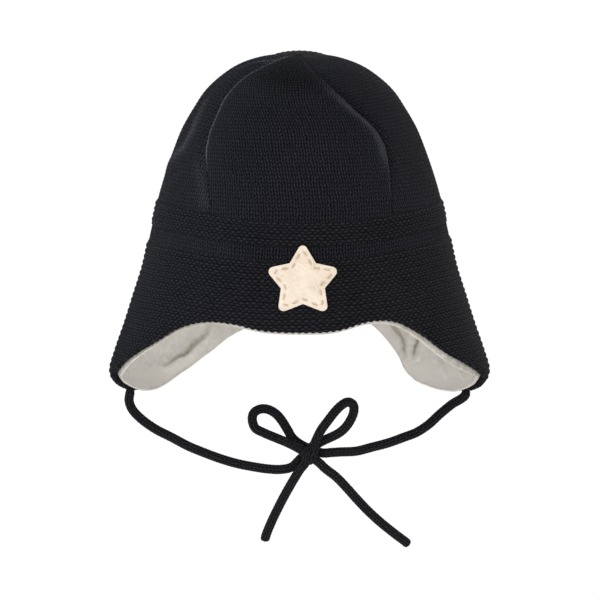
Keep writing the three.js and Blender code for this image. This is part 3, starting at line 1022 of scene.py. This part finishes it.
    def wrap_line(self) -> Array:
        """Line of the cord that is wrapped round the middle of the bow.

        Returns:
            Points along the line, in millimetres.
        """
        turns = 2.1
        tilt = math.radians(14)
        up = np.array([math.sin(tilt), 0.0, math.cos(tilt)])
        side = np.array([math.cos(tilt), 0.0, -math.sin(tilt)])
        share = np.linspace(0, 1, 26)
        turn = (0.55 + share * turns) * TURN
        ease = 1 - 0.45 * np.exp(-share / 0.05) - 0.45 * np.exp(-(1 - share) / 0.05)
        points = (
            np.array(self.knot_centre)
            + np.outer(np.sin(turn) * 3.3 * ease, up)
            + np.outer((share - 0.5) * 4.4, side)
            - np.outer(np.cos(turn) * 3.9 * ease, (0.0, 1.0, 0.0))
        )
        return self.line([tuple(point) for point in points])

    def skin(self, name: str, line: Array, thin: float) -> bpy.types.Object:
        """Knitted cord along a line, with rounded ends.

        Args:
            name: The piece's name.
            line: Points along the middle of the cord.
            thin: Radius at the line's start, from where the cord widens to its full size.

        Returns:
            The piece.
        """
        forward = np.gradient(line, axis=0)
        forward /= np.linalg.norm(forward, axis=1, keepdims=True)
        sides = [np.cross(forward[0], (0.0, 1.0, 0.0))]
        for direction in forward[1:]:
            side = sides[-1] - direction * float(direction @ sides[-1])
            sides.append(side / np.linalg.norm(side))
        side = np.array(sides)
        side[0] /= np.linalg.norm(side[0])
        other = np.cross(forward, side)
        reach = np.concatenate([[0], np.cumsum(np.linalg.norm(np.diff(line, axis=0), axis=1))])
        near = np.minimum(reach, reach[-1] - reach)
        radius = self.diameter / 2 * np.sqrt(np.clip(1 - np.clip(1 - near / 1.9, 0, 1) ** 2, 0, 1))
        radius *= 1 - (1 - 2 * thin / self.diameter) * (1 - smooth_step(0, self.sewn_taper, reach))

        def layout(column: Array, row: Array) -> tuple[Array, Array]:
            """Lays the grid round the cord.

            Args:
                column: Column of each grid point.
                row: Row of each grid point.

            Returns:
                The points in millimetres and the pattern coordinates.
            """
            turn = column / self.sides * TURN
            wale = column / self.sides * self.wales
            rows = reach[row] / self.course
            bump = np.abs(np.sin(math.pi * wale)) - 0.6 + 0.25 * np.cos(TURN * rows)
            size = radius[row] * (1 + self.relief / (self.diameter / 2) * bump)
            points = line[row] + size[:, None] * (
                np.cos(turn)[:, None] * side[row] + np.sin(turn)[:, None] * other[row])
            return points, np.stack([wale, rows], axis=1)

        return GridSkin(name, self.sides, len(line) - 1).build(layout)


@dataclass(frozen=True)
class Fold:
    """A fold of the cloth: its line as degrees and shares of the height, its size, and painted light along
    it.
    """

    line: tuple[tuple[float, float], ...]
    depth: float
    width: float
    painted_light: float

    def near(self, points: Array) -> tuple[Array, Array]:
        """Where points lie from the fold.

        Args:
            points: The points in millimetres.

        Returns:
            The distances from the fold's line, with a sign for the side, and the share of the fold
            that shows there, which fades towards its ends.
        """
        degrees, downs = np.array(self.line).T
        bends = FORM.point(np.radians(degrees), FORM.row_at(downs))
        nearest = np.full(len(points), 1e9)
        side, along = np.zeros(len(points)), np.zeros(len(points))
        for k, (start, end) in enumerate(zip(bends, bends[1:])):
            step = end - start
            reach = np.clip((points - start) @ step / (step @ step), 0, 1)
            gap = points - (start + reach[:, None] * step)
            distance = np.linalg.norm(gap, axis=1)
            across = np.cross(step, (start[0], start[1], 0.0))
            closer = distance < nearest
            nearest = np.where(closer, distance, nearest)
            side = np.where(closer, np.sign(gap @ across), side)
            along = np.where(closer, (k + reach) / (len(bends) - 1), along)
        return nearest * side, np.clip(np.sin(math.pi * np.clip(along, 0, 1)), 0, 1) ** 0.5


@dataclass(frozen=True)
class SeamMark:
    """What shows along a gore's seam: how far in, over which rows, its painted light and how high."""

    gore: Gore
    side: int
    inward: float
    spread: float
    rows: tuple[float, float, float, float]
    painted_light: float
    height: float = 0.0

    def at(self, inward: Array, row: Array) -> Array:
        """Share of the mark that shows, by the distance in from the seam and the row.

        Args:
            inward: Distances in from the seam, in millimetres.
            row: Rows, of the same shape.

        Returns:
            The shares, from 0 to 1.
        """
        start, full, fade, end = self.rows
        shown = smooth_step(start, full, row) * (1 - smooth_step(fade, end, row))
        return shown * np.exp(-(((inward - self.inward) / self.spread) ** 2))


@dataclass
class Crown:
    """The four gores of the crown, in plain knit whose columns run along each gore's middle."""

    thickness: float = 2.4
    stitch_width: float = 2.85
    stitch_height: float = 2.0
    columns: int = 208
    outside: int = 172
    inside: int = 14
    tip_row: float = 0.06
    relief: float = 0.22
    overlap: float = 0.12
    edge_round: float = 0.9
    edge_thin: float = 0.8
    marks: tuple[SeamMark, ...] = (
        # Painted light along the seams: highlights on the front gore's raised edges, on the back seams and
        # low on the left gore, painted shade over the front gore's top and beside the right seam, and
        # painted light that lifts the left groove's shade. Marks with a height also raise the knit.
        SeamMark(Gore.FRONT, -1, 1.2, 0.8, (0.4, 0.9, 7.6, 8.8), 1.70, 0.70),
        SeamMark(Gore.FRONT, 1, 0.9, 0.8, (0.6, 1.2, 4.6, 5.6), 0.55, 0.30),
        SeamMark(Gore.FRONT, 1, 3.8, 3.0, (2.4, 5.8, 7.6, 8.8), 0.70, 0.50),
        SeamMark(Gore.FRONT, 1, 20.0, 40.0, (0.0, 0.1, 2.5, 5.0), -0.28),
        SeamMark(Gore.FRONT, 1, 1.2, 1.0, (6.6, 7.6, 9.0, 9.8), 0.40, 0.30),
        SeamMark(Gore.RIGHT, -1, 0.0, 4.0, (1.5, 3.5, 8.5, 9.6), -0.05),
        SeamMark(Gore.LEFT, 1, 0.0, 3.0, (1.0, 2.0, 8.0, 9.0), 0.28),
        SeamMark(Gore.LEFT, 1, 4.0, 4.5, (7.6, 8.8, 9.8, 10.6), 0.30, 0.30),
        SeamMark(Gore.BACK, 1, 0.5, 0.8, (0.4, 0.9, 8.0, 9.5), 0.35, 0.20),
        SeamMark(Gore.BACK, -1, 0.5, 0.8, (0.4, 0.9, 8.0, 9.5), 0.35, 0.20),
    )
    creases: tuple[Fold, ...] = (
        # Soft folds on the left of the crown, each a low ridge with a painted highlight along it.
        Fold(((-71, 0.120), (-70, 0.143), (-68, 0.186), (-66, 0.221), (-68, 0.265), (-73, 0.284),
              (-84, 0.317),
              (-92, 0.340)), 0.9, 3.4, 0.62),
        Fold(((-52, 0.001), (-60, 0.004), (-63, 0.008), (-68, 0.012), (-75, 0.018), (-78, 0.026),
              (-79, 0.036),
              (-78, 0.048)), 0.6, 1.0, 0.60),
    )

    def build(self) -> list[bpy.types.Object]:
        """Builds the four gores.

        Returns:
            The four pieces.
        """
        material = CROWN_KNIT.make()
        pieces = []
        for gore in Gore:
            node = f"crown_gore_{gore.name.lower()}"
            pieces.append(dress(self.gore(f"{node}_knit", gore), material, CROWN_KNIT.slot, node))
        return pieces

    def gore(self, name: str, gore: Gore) -> bpy.types.Object:
        """One gore.

        Args:
            name: The piece's name.
            gore: Which gore it is.

        Returns:
            The piece.
        """
        courses = Courses.wall(self.outside, self.inside, 0.0, self.thickness, 0.0)

        def layout(column: Array, row: Array) -> tuple[Array, Array]:
            """Lays the grid round the gore.

            Args:
                column: Column of each grid point.
                row: Row of each grid point.

            Returns:
                The points in millimetres, the pattern coordinates and the painted light on the yarn.
            """
            share = 2 * column / self.columns - 1
            angle, depth = self.place(gore, share, courses.share[row])
            half = gore.span(depth)[1]
            width = half * FORM.half_width * FORM.column(1, depth)
            across = share * width / self.stitch_width
            down = FORM.reach(depth) / self.stitch_height
            yarn = np.abs(np.sin(math.pi * (across + 0.5))) - 0.6 + 0.3 * np.cos(TURN * down)
            end = 1 - np.abs(share)
            fall = np.clip(1 - end * width / self.edge_round, 0, 1)
            height = courses.height[row] + GORES.bulge(share, depth)
            shown = courses.relief[row]
            height += shown * GORES.groove(share, depth, half, share * gore.sunk_side > 0)
            height += shown * self.relief * yarn * smooth_step(0.3, 1.5, depth)
            # Painted highlights and shade from the seam marks, each with its rise.
            painted_light = np.zeros_like(height)
            for mark in self.marks:
                if mark.gore is gore:
                    seen = shown * mark.at(width * (1 - mark.side * share), depth)
                    height += mark.height * seen
                    painted_light += mark.painted_light * seen
            # Each crease raises a ridge and paints a highlight along it.
            for crease in self.creases:
                away, lasting = crease.near(FORM.point(angle, depth))
                ridge = shown * lasting * np.exp(-((away / crease.width) ** 2))
                height += crease.depth * ridge
                painted_light += crease.painted_light * ridge
            thin = self.edge_thin * (1 + 2 * courses.height[row] / self.thickness)
            height -= (1 - np.sqrt(1 - fall**2)) * thin
            return FORM.off(angle, depth, height), np.stack([across + 0.5, down], axis=1), painted_light

        skin = GridSkin(name, self.columns, len(courses.share) - 1)
        return skin.build(layout, close_ends=True)

    def place(self, gore: Gore, share: Array, down: Array) -> tuple[Array, Array]:
        """Places on a gore, spread evenly along the cloth from the tip to the crown's end.

        Args:
            gore: The gore.
            share: Shares of the gore's half width, from -1 to 1.
            down: Shares of the way down, from 0 to 1.

        Returns:
            The angles and the rows.
        """
        top = FORM.reach(np.array(self.tip_row))
        depth = np.full_like(share, float(FORM.row_at(np.array(BAND_LINES[:, 1].max()))))
        for _ in range(3):
            centre, half = gore.span(depth)
            width = np.maximum(half * FORM.half_width * FORM.column(1, depth), 1.0)
            angle = centre + share * half * (1 + self.overlap / width)
            end = FORM.reach(FORM.row_past(FORM.line_row(Line.CROWN_END, angle), 0.1))
            depth = FORM.row_reached(top + down * (end - top))
        return angle, depth


@dataclass
class KnitRing:
    """A ring of knit, between a row and a row or an edge."""

    name: str
    node: str
    finish: KnitFinish
    top: Line
    columns: int
    outside: int
    inside: int
    stitch_width: float
    course: float
    proud: float
    relief: float
    edge_relief: float
    thickness: float = 2.4
    overlap: float = 0.1
    roll: float = 0.5
    scallop: float = 0.0

    def edge(self, angle: Array) -> Array:
        """Row of the ring's lower edge at each angle."""
        raise NotImplementedError

    def yarn(self, across: Array, down: Array) -> Array:
        """Height of the yarn, from -1 to 1, by stitches across and courses down.

        Args:
            across: Stitches across.
            down: Courses down.

        Returns:
            The heights.
        """
        if self.finish.stitch is Stitch.STOCKINETTE:
            return np.abs(np.sin(math.pi * across)) - 0.6 + 0.3 * np.cos(TURN * down)
        crest = np.abs(np.sin(math.pi * down)) ** 0.8
        bead = np.cos(math.pi * across) ** 2
        return 2 * crest * (0.8 + 0.2 * bead) - 1

    def build(self, material: bpy.types.Material) -> bpy.types.Object:
        """Builds the ring and dresses it in a material.

        Args:
            material: Its material.

        Returns:
            The piece.
        """
        courses = Courses.wall(self.outside, self.inside, self.proud, self.thickness, self.roll)
        stitches = round(FORM.girth(float(FORM.line_row(self.top, np.array(0.0)))) / self.stitch_width)

        def layout(column: Array, row: Array) -> tuple[Array, Array]:
            """Lays the grid round the ring.

            Args:
                column: Column of each grid point.
                row: Row of each grid point.

            Returns:
                The points in millimetres and the pattern coordinates.
            """
            angle = column / self.columns * TURN
            line, edge = FORM.line_row(self.top, angle), self.edge(angle)
            start = FORM.row_past(line, -self.overlap)
            share = courses.share[row]
            across = column / self.columns * stitches
            loops = self.scallop * np.cos(TURN * across) * smooth_step(0.95, 1.0, share)
            place = FORM.row_past(start + share * (edge - start), courses.past[row] + loops)
            down = (FORM.reach(place) - FORM.reach(line)) / self.course
            left = (FORM.reach(edge) - FORM.reach(place)) / self.course
            shown = courses.relief[row]
            fade = smooth_step(0.1, 0.9, left)
            yarn = self.relief * self.yarn(across, down) * fade
            yarn += self.edge_relief * (np.cos(TURN * across) - 0.2) * (1 - fade)
            height = courses.height[row] + shown * yarn
            return FORM.off(angle, place, height), np.stack([across, down], axis=1)

        piece = GridSkin(self.name, self.columns, len(courses.share) - 1).build(layout)
        return dress(piece, material, self.finish.slot, self.node)


@dataclass
class BandRing(KnitRing):
    """A ring that ends at a row of the form."""

    bottom: Line = Line.BAND_END

    def edge(self, angle: Array) -> Array:
        """Row of the ring's lower edge at each angle."""
        return FORM.row_past(FORM.line_row(self.bottom, angle), self.overlap)


@dataclass
class BrimRing(KnitRing):
    """A ring that ends at the knitted edge, with both ear flaps."""

    def edge(self, angle: Array) -> Array:
        """Row of the ring's lower edge at each angle."""
        return FORM.row_past(FORM.rim_row(angle), -self.roll * 0.6)


@dataclass
class Bands:
    """The ribbed band, the plain band and the brim with its ear flaps."""

    ribbed: KnitRing = field(default_factory=lambda: BandRing(
        "ribbed_band_knit", "ribbed_band", RIB_KNIT, Line.CROWN_END, columns=620, outside=30, inside=3,
        stitch_width=3.0, course=2.75, proud=0.6, relief=0.42, edge_relief=0.0, bottom=Line.BAND_END))
    plain: KnitRing = field(default_factory=lambda: BandRing(
        "plain_band_knit", "plain_band", CROWN_KNIT, Line.BAND_END, columns=820, outside=20, inside=2,
        stitch_width=2.85, course=2.0, proud=0.0, relief=0.22, edge_relief=0.0, bottom=Line.PLAIN_END))
    brim: KnitRing = field(default_factory=lambda: BrimRing(
        "ear_flap_brim_knit", "ear_flap_brim", RIB_KNIT, Line.PLAIN_END, columns=600, outside=138, inside=10,
        stitch_width=3.0, course=2.8, proud=0.6, relief=0.42, edge_relief=0.25, roll=0.9, scallop=0.35))

    def build(self) -> list[bpy.types.Object]:
        """Builds the three rings."""
        ribs, plain = RIB_KNIT.make(), CROWN_KNIT.make()
        return [self.ribbed.build(ribs), self.plain.build(plain), self.brim.build(ribs)]


@dataclass
class Lining:
    """The jersey lining, with a rolled hem and the soft folds in the flaps."""

    gap: float = 3.0
    thickness: float = 1.0
    columns: int = 520
    outside: int = 30
    inside: int = 150
    stitch: float = 1.1
    flap_row: float = 12.0
    hem: float = 0.45
    hem_width: float = 1.3
    hem_from_edge: float = 1.5
    # Painted light on the lower inside of the flaps, and the shares of the height where it comes in.
    flap_painted_light: float = 0.88
    flap_shares: tuple[float, float] = (0.905, 0.975)
    # Painted shade on the outer strip of the lining's rim: where it fades, how dark it is, and how much less
    # at the front and where the hem shows.
    rim_fade: tuple[float, float] = (2.5, 5.0)
    rim_painted_shade: float = 0.95
    rim_painted_shade_less_front: float = 0.6
    rim_painted_shade_less_hem: float = 0.1
    front_spread: float = 30.0
    hem_shows: SmoothTable = SmoothTable(
        (-180, -100, -80, -66, -50, -30, 0, 18, 28, 70, 86, 100, 180),
        (0.10, 0.15, 0.45, 0.20, 0.10, 0.35, 0.50, 0.70, 1.00, 1.00, 0.60, 0.20, 0.10))
    folds: tuple[Fold, ...] = (
        # Soft folds in the flaps: each pushes the cloth in and paints shade along its crease.
        Fold(((-148.0, 0.820), (-147.0, 0.840), (-146.5, 0.858), (-144.5, 0.869), (-142.5, 0.882),
              (-141.0, 0.899),
              (-139.0, 0.918), (-136.0, 0.925), (-132.5, 0.943), (-127.0, 0.955)), 2.2, 4.5, -0.70),
        Fold(((-64.0, 0.842), (-68.0, 0.865), (-70.5, 0.882), (-73.5, 0.907),
              (-80.0, 0.930)), 0.6, 2.0, -0.40),
        Fold(((-117.0, 0.885), (-112.0, 0.907), (-108.5, 0.925), (-100.5, 0.947)), 0.7, 2.5, -0.35),
        Fold(((147.0, 0.815), (146.0, 0.828), (144.5, 0.840), (143.0, 0.851), (142.5, 0.865),
              (142.5, 0.882),
              (143.0, 0.902), (142.5, 0.935)), 3.0, 6.0, -1.75),
        Fold(((135.0, 0.850), (135.5, 0.862), (136.5, 0.872), (138.0, 0.891), (139.0, 0.912),
              (139.5, 0.940)),
             2.6, 4.6, -1.45),
        Fold(((139.5, 0.835), (139.5, 0.847), (140.5, 0.869), (141.0, 0.880)), 0.8, 2.2, -0.35),
        Fold(((129.0, 0.925), (128.0, 0.939), (125.0, 0.956), (120.5, 0.975),
              (118.0, 0.985)), 0.9, 2.6, -0.40),
        Fold(((117.0, 0.948), (116.0, 0.954), (112.5, 0.962), (107.5, 0.971),
              (103.0, 0.978)), 0.7, 2.2, -0.35),
    )

    def build(self) -> bpy.types.Object:
        """Builds the lining.

        Returns:
            The piece.
        """
        finish = JerseyFinish()
        courses = Courses.wall(self.outside, self.inside, -self.gap, self.gap + self.thickness, 0.5, False)
        stitches = round(FORM.girth(self.flap_row) / self.stitch)

        def layout(column: Array, row: Array) -> tuple[Array, Array, Array]:
            """Lays the grid round the lining.

            Args:
                column: Column of each grid point.
                row: Row of each grid point.

            Returns:
                The points in millimetres, the pattern coordinates and the painted light and shade on the
                cloth.
            """
            angle = column / self.columns * TURN
            edge = FORM.lining_row(angle)
            share = courses.share[row]
            place = FORM.row_past(self.spread(share, edge), courses.past[row] - 0.4 * (share == 1))
            place = np.where(share == 0, 0.0, place)
            left = FORM.reach(edge) - FORM.reach(place)
            degrees = front_degrees(angle)
            shows = self.hem_shows.at(degrees)
            front = np.exp(-((degrees / self.front_spread) ** 2))
            roll = shows * self.hem * np.exp(-(((left - self.hem_from_edge) / self.hem_width) ** 2))
            outward = np.where(courses.height[row] > -self.gap - self.thickness / 2, 1.0, -1.0)
            height = courses.height[row] + GORES.bulge(GORES.share(angle, place), place) + outward * roll
            rim = (1 - smooth_step(*self.rim_fade, left)) * (outward > 0)
            pushed, painted_light = self.folded(angle, place)
            # Painted light on the lower inside of the flaps.
            painted_light += self.flap_painted_light * smooth_step(*self.flap_shares, FORM.column(0, place)) * (outward < 0)
            height -= pushed * smooth_step(0.5, 4.0, left)
            # Painted shade on the outer rim strip, less at the front and where the hem shows.
            dark = self.rim_painted_shade - self.rim_painted_shade_less_front * front - self.rim_painted_shade_less_hem * shows
            painted_light = painted_light * smooth_step(0.2, 2.0, left) - rim * dark
            across = column / self.columns * stitches
            pattern = np.stack([across, FORM.reach(place) / self.stitch], axis=1)
            return FORM.off(angle, place, height), pattern, painted_light

        piece = GridSkin("lining_jersey", self.columns, len(courses.share) - 1).build(layout)
        return dress(piece, finish.make(), finish.slot, "lining")

    def spread(self, share: Array, edge: Array) -> Array:
        """Rows from the tip to the edge, with half of the courses below the plain band."""
        above = self.flap_row * np.minimum(share * 2, 1)
        return above + (edge - self.flap_row) * np.clip(share * 2 - 1, 0, 1)

    def folded(self, angle: Array, row: Array) -> tuple[Array, Array]:
        """How far the folds push the lining into the hat, in millimetres, and the painted shade along them.

        Args:
            angle: Angles in radians.
            row: Rows, of the same shape.

        Returns:
            The push, and the painted shade.
        """
        points = FORM.point(angle, row)
        pushed, painted_light = np.zeros(len(points)), np.zeros(len(points))
        for fold in self.folds:
            away, lasting = fold.near(points)
            step_up = 0.5 * (1 + np.tanh(away / 0.7))
            pushed += fold.depth * step_up * np.exp(-((away / fold.width) ** 2)) * lasting
            # Painted shade along the fold's crease.
            painted_light += fold.painted_light * np.exp(-(((away + 0.3) / (0.4 + 0.3 * fold.width)) ** 2)) * lasting
        return pushed, painted_light


@dataclass
class StarPatch:
    """The felt star on the front, sewn on with a running stitch."""

    points: int = 5
    radius: float = 17.2
    notch: float = 9.6
    tip_round: float = 2.4
    thickness: float = 1.3
    gap: float = 0.5
    proud: float = 0.6
    drop: float = 107.4
    side: float = 1.6
    around: int = 220
    rings: int = 36
    stitch_inset: float = 2.3
    stitch_length: float = 3.0
    stitch_pitch: float = 5.0
    thread: float = 0.42
    stitch_steps: int = 10

    def build(self) -> bpy.types.Object:
        """Builds the star and its stitches.

        Returns:
            The piece.
        """
        courses = Courses.wall(self.rings, 6, self.thickness / 2, self.thickness / 2, 0.35, False)
        seam = self.seam()

        def layout(column: Array, row: Array) -> tuple[Array, Array]:
            """Lays the grid round the star.

            Args:
                column: Column of each grid point.
                row: Row of each grid point.

            Returns:
                The points in millimetres and the pattern coordinates.
            """
            turn = column / self.around * TURN
            share = courses.share[row]
            far = np.maximum(share * self.outline(turn) + courses.past[row] - 0.35 * share**6, 0)
            x, z = far * np.sin(turn), far * np.cos(turn)
            nearest = np.min(np.hypot(x[:, None] - seam[:, 0], z[:, None] - seam[:, 1]), axis=1)
            front = np.where(courses.height[row] > 0, 1.0, 0.0)
            height = courses.height[row] - front * 0.35 * np.exp(-((nearest / 0.9) ** 2))
            height -= front * 0.45 * smooth_step(0.86, 1.0, share)
            return self.lay(x, z, self.gap + self.thickness / 2 + height), np.stack([x, z], axis=1)

        piece = GridSkin("felt_star", self.around, len(courses.share) - 1).build(layout)
        finish = FeltFinish()
        dress(piece, finish.make(), finish.slot, "felt_patch")
        piece.data.materials.append(ThreadFinish().make())
        self.sew(piece, seam)
        return piece

    def lay(self, x: Array, z: Array, height: Array) -> Array:
        """Lays flat points of the star on the front of the hat.

        Args:
            x: Millimetres to the right of the star's middle.
            z: Millimetres above it.
            height: Millimetres off the knit.

        Returns:
            The points in millimetres.
        """
        wide = FORM.half_depth * FORM.column(2, FORM.line_row(Line.PLAIN_END, np.array(0.0)))
        row = FORM.row_at((self.drop - z) / FORM.height)
        return FORM.off((self.side + x) / wide, row, self.proud + height)

    def outline(self, turn: Array) -> Array:
        """Distance of the star's edge from its middle, by the turn from its upper tip.

        Args:
            turn: Turns in radians.

        Returns:
            The distances in millimetres.
        """
        wedge = math.pi / self.points
        away = np.abs((turn + wedge) % (2 * wedge) - wedge)
        notch = (self.notch * math.cos(wedge), self.notch * math.sin(wedge))
        slope = math.atan2(notch[1], self.radius - notch[0])
        centre = self.radius - self.tip_round
        corner = centre + self.tip_round / math.sin(slope)
        edge = corner * math.sin(slope) / np.sin(slope + away)
        tangent = math.atan2(self.tip_round * math.cos(slope), centre + self.tip_round * math.sin(slope))
        chord = np.sqrt(np.maximum(self.tip_round**2 - (centre * np.sin(away)) ** 2, 0))
        return np.where(away < tangent, centre * np.cos(away) + chord, edge)

    def seam(self) -> Array:
        """Points along the line of the running stitch, evenly spaced.

        Returns:
            The points, in the star's own plane.
        """
        turn = np.linspace(0, TURN, 1441)
        far = self.outline(turn) - self.stitch_inset * 1.25
        line = np.stack([far * np.sin(turn), far * np.cos(turn)], axis=1)
        reach = np.concatenate([[0], np.cumsum(np.linalg.norm(np.diff(line, axis=0), axis=1))])
        count = round(reach[-1] / self.stitch_pitch) * self.stitch_steps
        places = np.linspace(0, reach[-1], count, endpoint=False)
        return np.stack([np.interp(places, reach, line[:, axis]) for axis in range(2)], axis=1)

    def sew(self, piece: bpy.types.Object, seam: Array) -> None:
        """Adds the stitches to the star's mesh, as rounded bits of thread that dip at both ends.

        Args:
            piece: The star.
            seam: Points along the line of the stitches.
        """
        shape = bmesh.new()
        shape.from_mesh(piece.data)
        span = round(self.stitch_length / self.stitch_pitch * self.stitch_steps)
        for k in range(0, len(seam), self.stitch_steps):
            first, last = seam[k], seam[(k + span) % len(seam)]
            middle = (first + last) / 2
            flat = np.array([first, middle, last])
            lifts = np.full(3, self.gap + self.thickness - 0.18)
            start, centre, end = (Vector(p * MM) for p in self.lay(flat[:, 0], flat[:, 1], lifts))
            out = Vector(self.lay(flat[1:2, 0], flat[1:2, 1], lifts[1:2] + 1)[0] * MM) - centre
            along = end - start
            turn = along.to_track_quat("X", "Z").to_matrix().to_4x4()
            scale = Matrix.Diagonal((along.length / 2 / (self.thread * MM), 1.0, 1.0, 1.0))
            ball = bmesh.ops.create_uvsphere(
                shape, u_segments=12, v_segments=8, radius=self.thread * MM,
                matrix=Matrix.Translation(centre + out.normalized() * 0.1 * MM) @ turn @ scale,
            )
            faces = {face for vert in ball["verts"] for face in vert.link_faces}
            for face in faces:
                face.material_index = 1
                face.smooth = True
        shape.to_mesh(piece.data)
        shape.free()


@dataclass(frozen=True)
class Lamp:
    """A square soft light, with its place and size in metres."""

    name: str
    place: tuple[float, float, float]
    power: float
    colour: tuple[float, float, float]
    size: float = 0.9


@dataclass
class Studio:
    """Camera, lights and pale surroundings, in metres."""

    aim: tuple[float, float, float] = (0.00025, 0.0, -0.1203)
    distance: float = 2.4
    elevation: float = 6.0
    lens: float = 288.0
    sensor: float = 36.0
    floor_z: float = -4.0
    floor_size: float = 30.0
    world_light: float = 1.02
    lamps: tuple[Lamp, ...] = (
        Lamp("key", (-0.9, -1.6, 0.6), 12.0, (1.0, 1.0, 1.0)),
        Lamp("fill", (1.3, -1.2, 0.3), 3.5, (0.97, 0.98, 1.0)),
        Lamp("side", (-1.7, 0.1, 0.2), 9.0, (0.55, 0.80, 1.0)),
        Lamp("low", (0.0, -1.5, -0.8), 7.3, (1.0, 0.99, 0.97)),
        Lamp("back", (0.6, 1.6, 0.6), 6.0, (1.0, 1.0, 1.0)),
    )

    def camera(self) -> None:
        """Sets the camera at the photograph's angle."""
        data = bpy.data.cameras.new("camera")
        data.lens, data.sensor_width = self.lens, self.sensor
        data.clip_end = 100.0
        camera = bpy.data.objects.new("camera", data)
        bpy.context.scene.collection.objects.link(camera)
        tilt = math.radians(self.elevation)
        back = Vector((0.0, -math.cos(tilt), math.sin(tilt)))
        camera.location = Vector(self.aim) + back * self.distance
        camera.rotation_mode = "QUATERNION"
        camera.rotation_quaternion = (-back).to_track_quat("-Z", "Y")
        bpy.context.scene.camera = camera

    def hang(self, lamp: Lamp) -> None:
        """Hangs a light so that it faces the hat.

        Args:
            lamp: The light.
        """
        place = Vector(lamp.place)
        data = bpy.data.lights.new(lamp.name, "AREA")
        data.shape, data.size, data.energy, data.color = "SQUARE", lamp.size, lamp.power, lamp.colour
        light = bpy.data.objects.new(lamp.name, data)
        light.location = place
        light.rotation_mode = "QUATERNION"
        light.rotation_quaternion = (Vector(self.aim) - place).to_track_quat("-Z", "Y")
        bpy.context.scene.collection.objects.link(light)

    def build(self) -> None:
        """Sets the light, the white surroundings and the floor."""
        world = bpy.data.worlds.new("surroundings")
        world.use_nodes = True
        world.node_tree.nodes["Background"].inputs["Color"].default_value = (1.0, 1.0, 1.0, 1.0)
        world.node_tree.nodes["Background"].inputs["Strength"].default_value = self.world_light
        bpy.context.scene.world = world
        for lamp in self.lamps:
            self.hang(lamp)
        shape = bmesh.new()
        bmesh.ops.create_grid(
            shape, x_segments=2, y_segments=2, size=self.floor_size / 2,
            matrix=Matrix.Translation((0.0, 0.0, self.floor_z)),
        )
        mesh = bpy.data.meshes.new("floor")
        shape.to_mesh(mesh)
        shape.free()
        floor = bpy.data.objects.new("floor", mesh)
        bpy.context.scene.collection.objects.link(floor)
        sketch = NodeSketch("pale_floor")
        floor.data.materials.append(sketch.surface(Base_Color=(0.97, 0.97, 0.97, 1.0), Roughness=0.9))
        bpy.context.scene.view_settings.view_transform = "Standard"


def main() -> None:
    """Builds the hat's looks."""
    logging.basicConfig(level=logging.INFO, format="%(name)s: %(message)s")
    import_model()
    studio = Studio()
    studio.camera()
    Ties().build()
    Crown().build()
    Bands().build()
    Lining().build()
    StarPatch().build()
    studio.build()


if __name__ == "__main__":
    main()
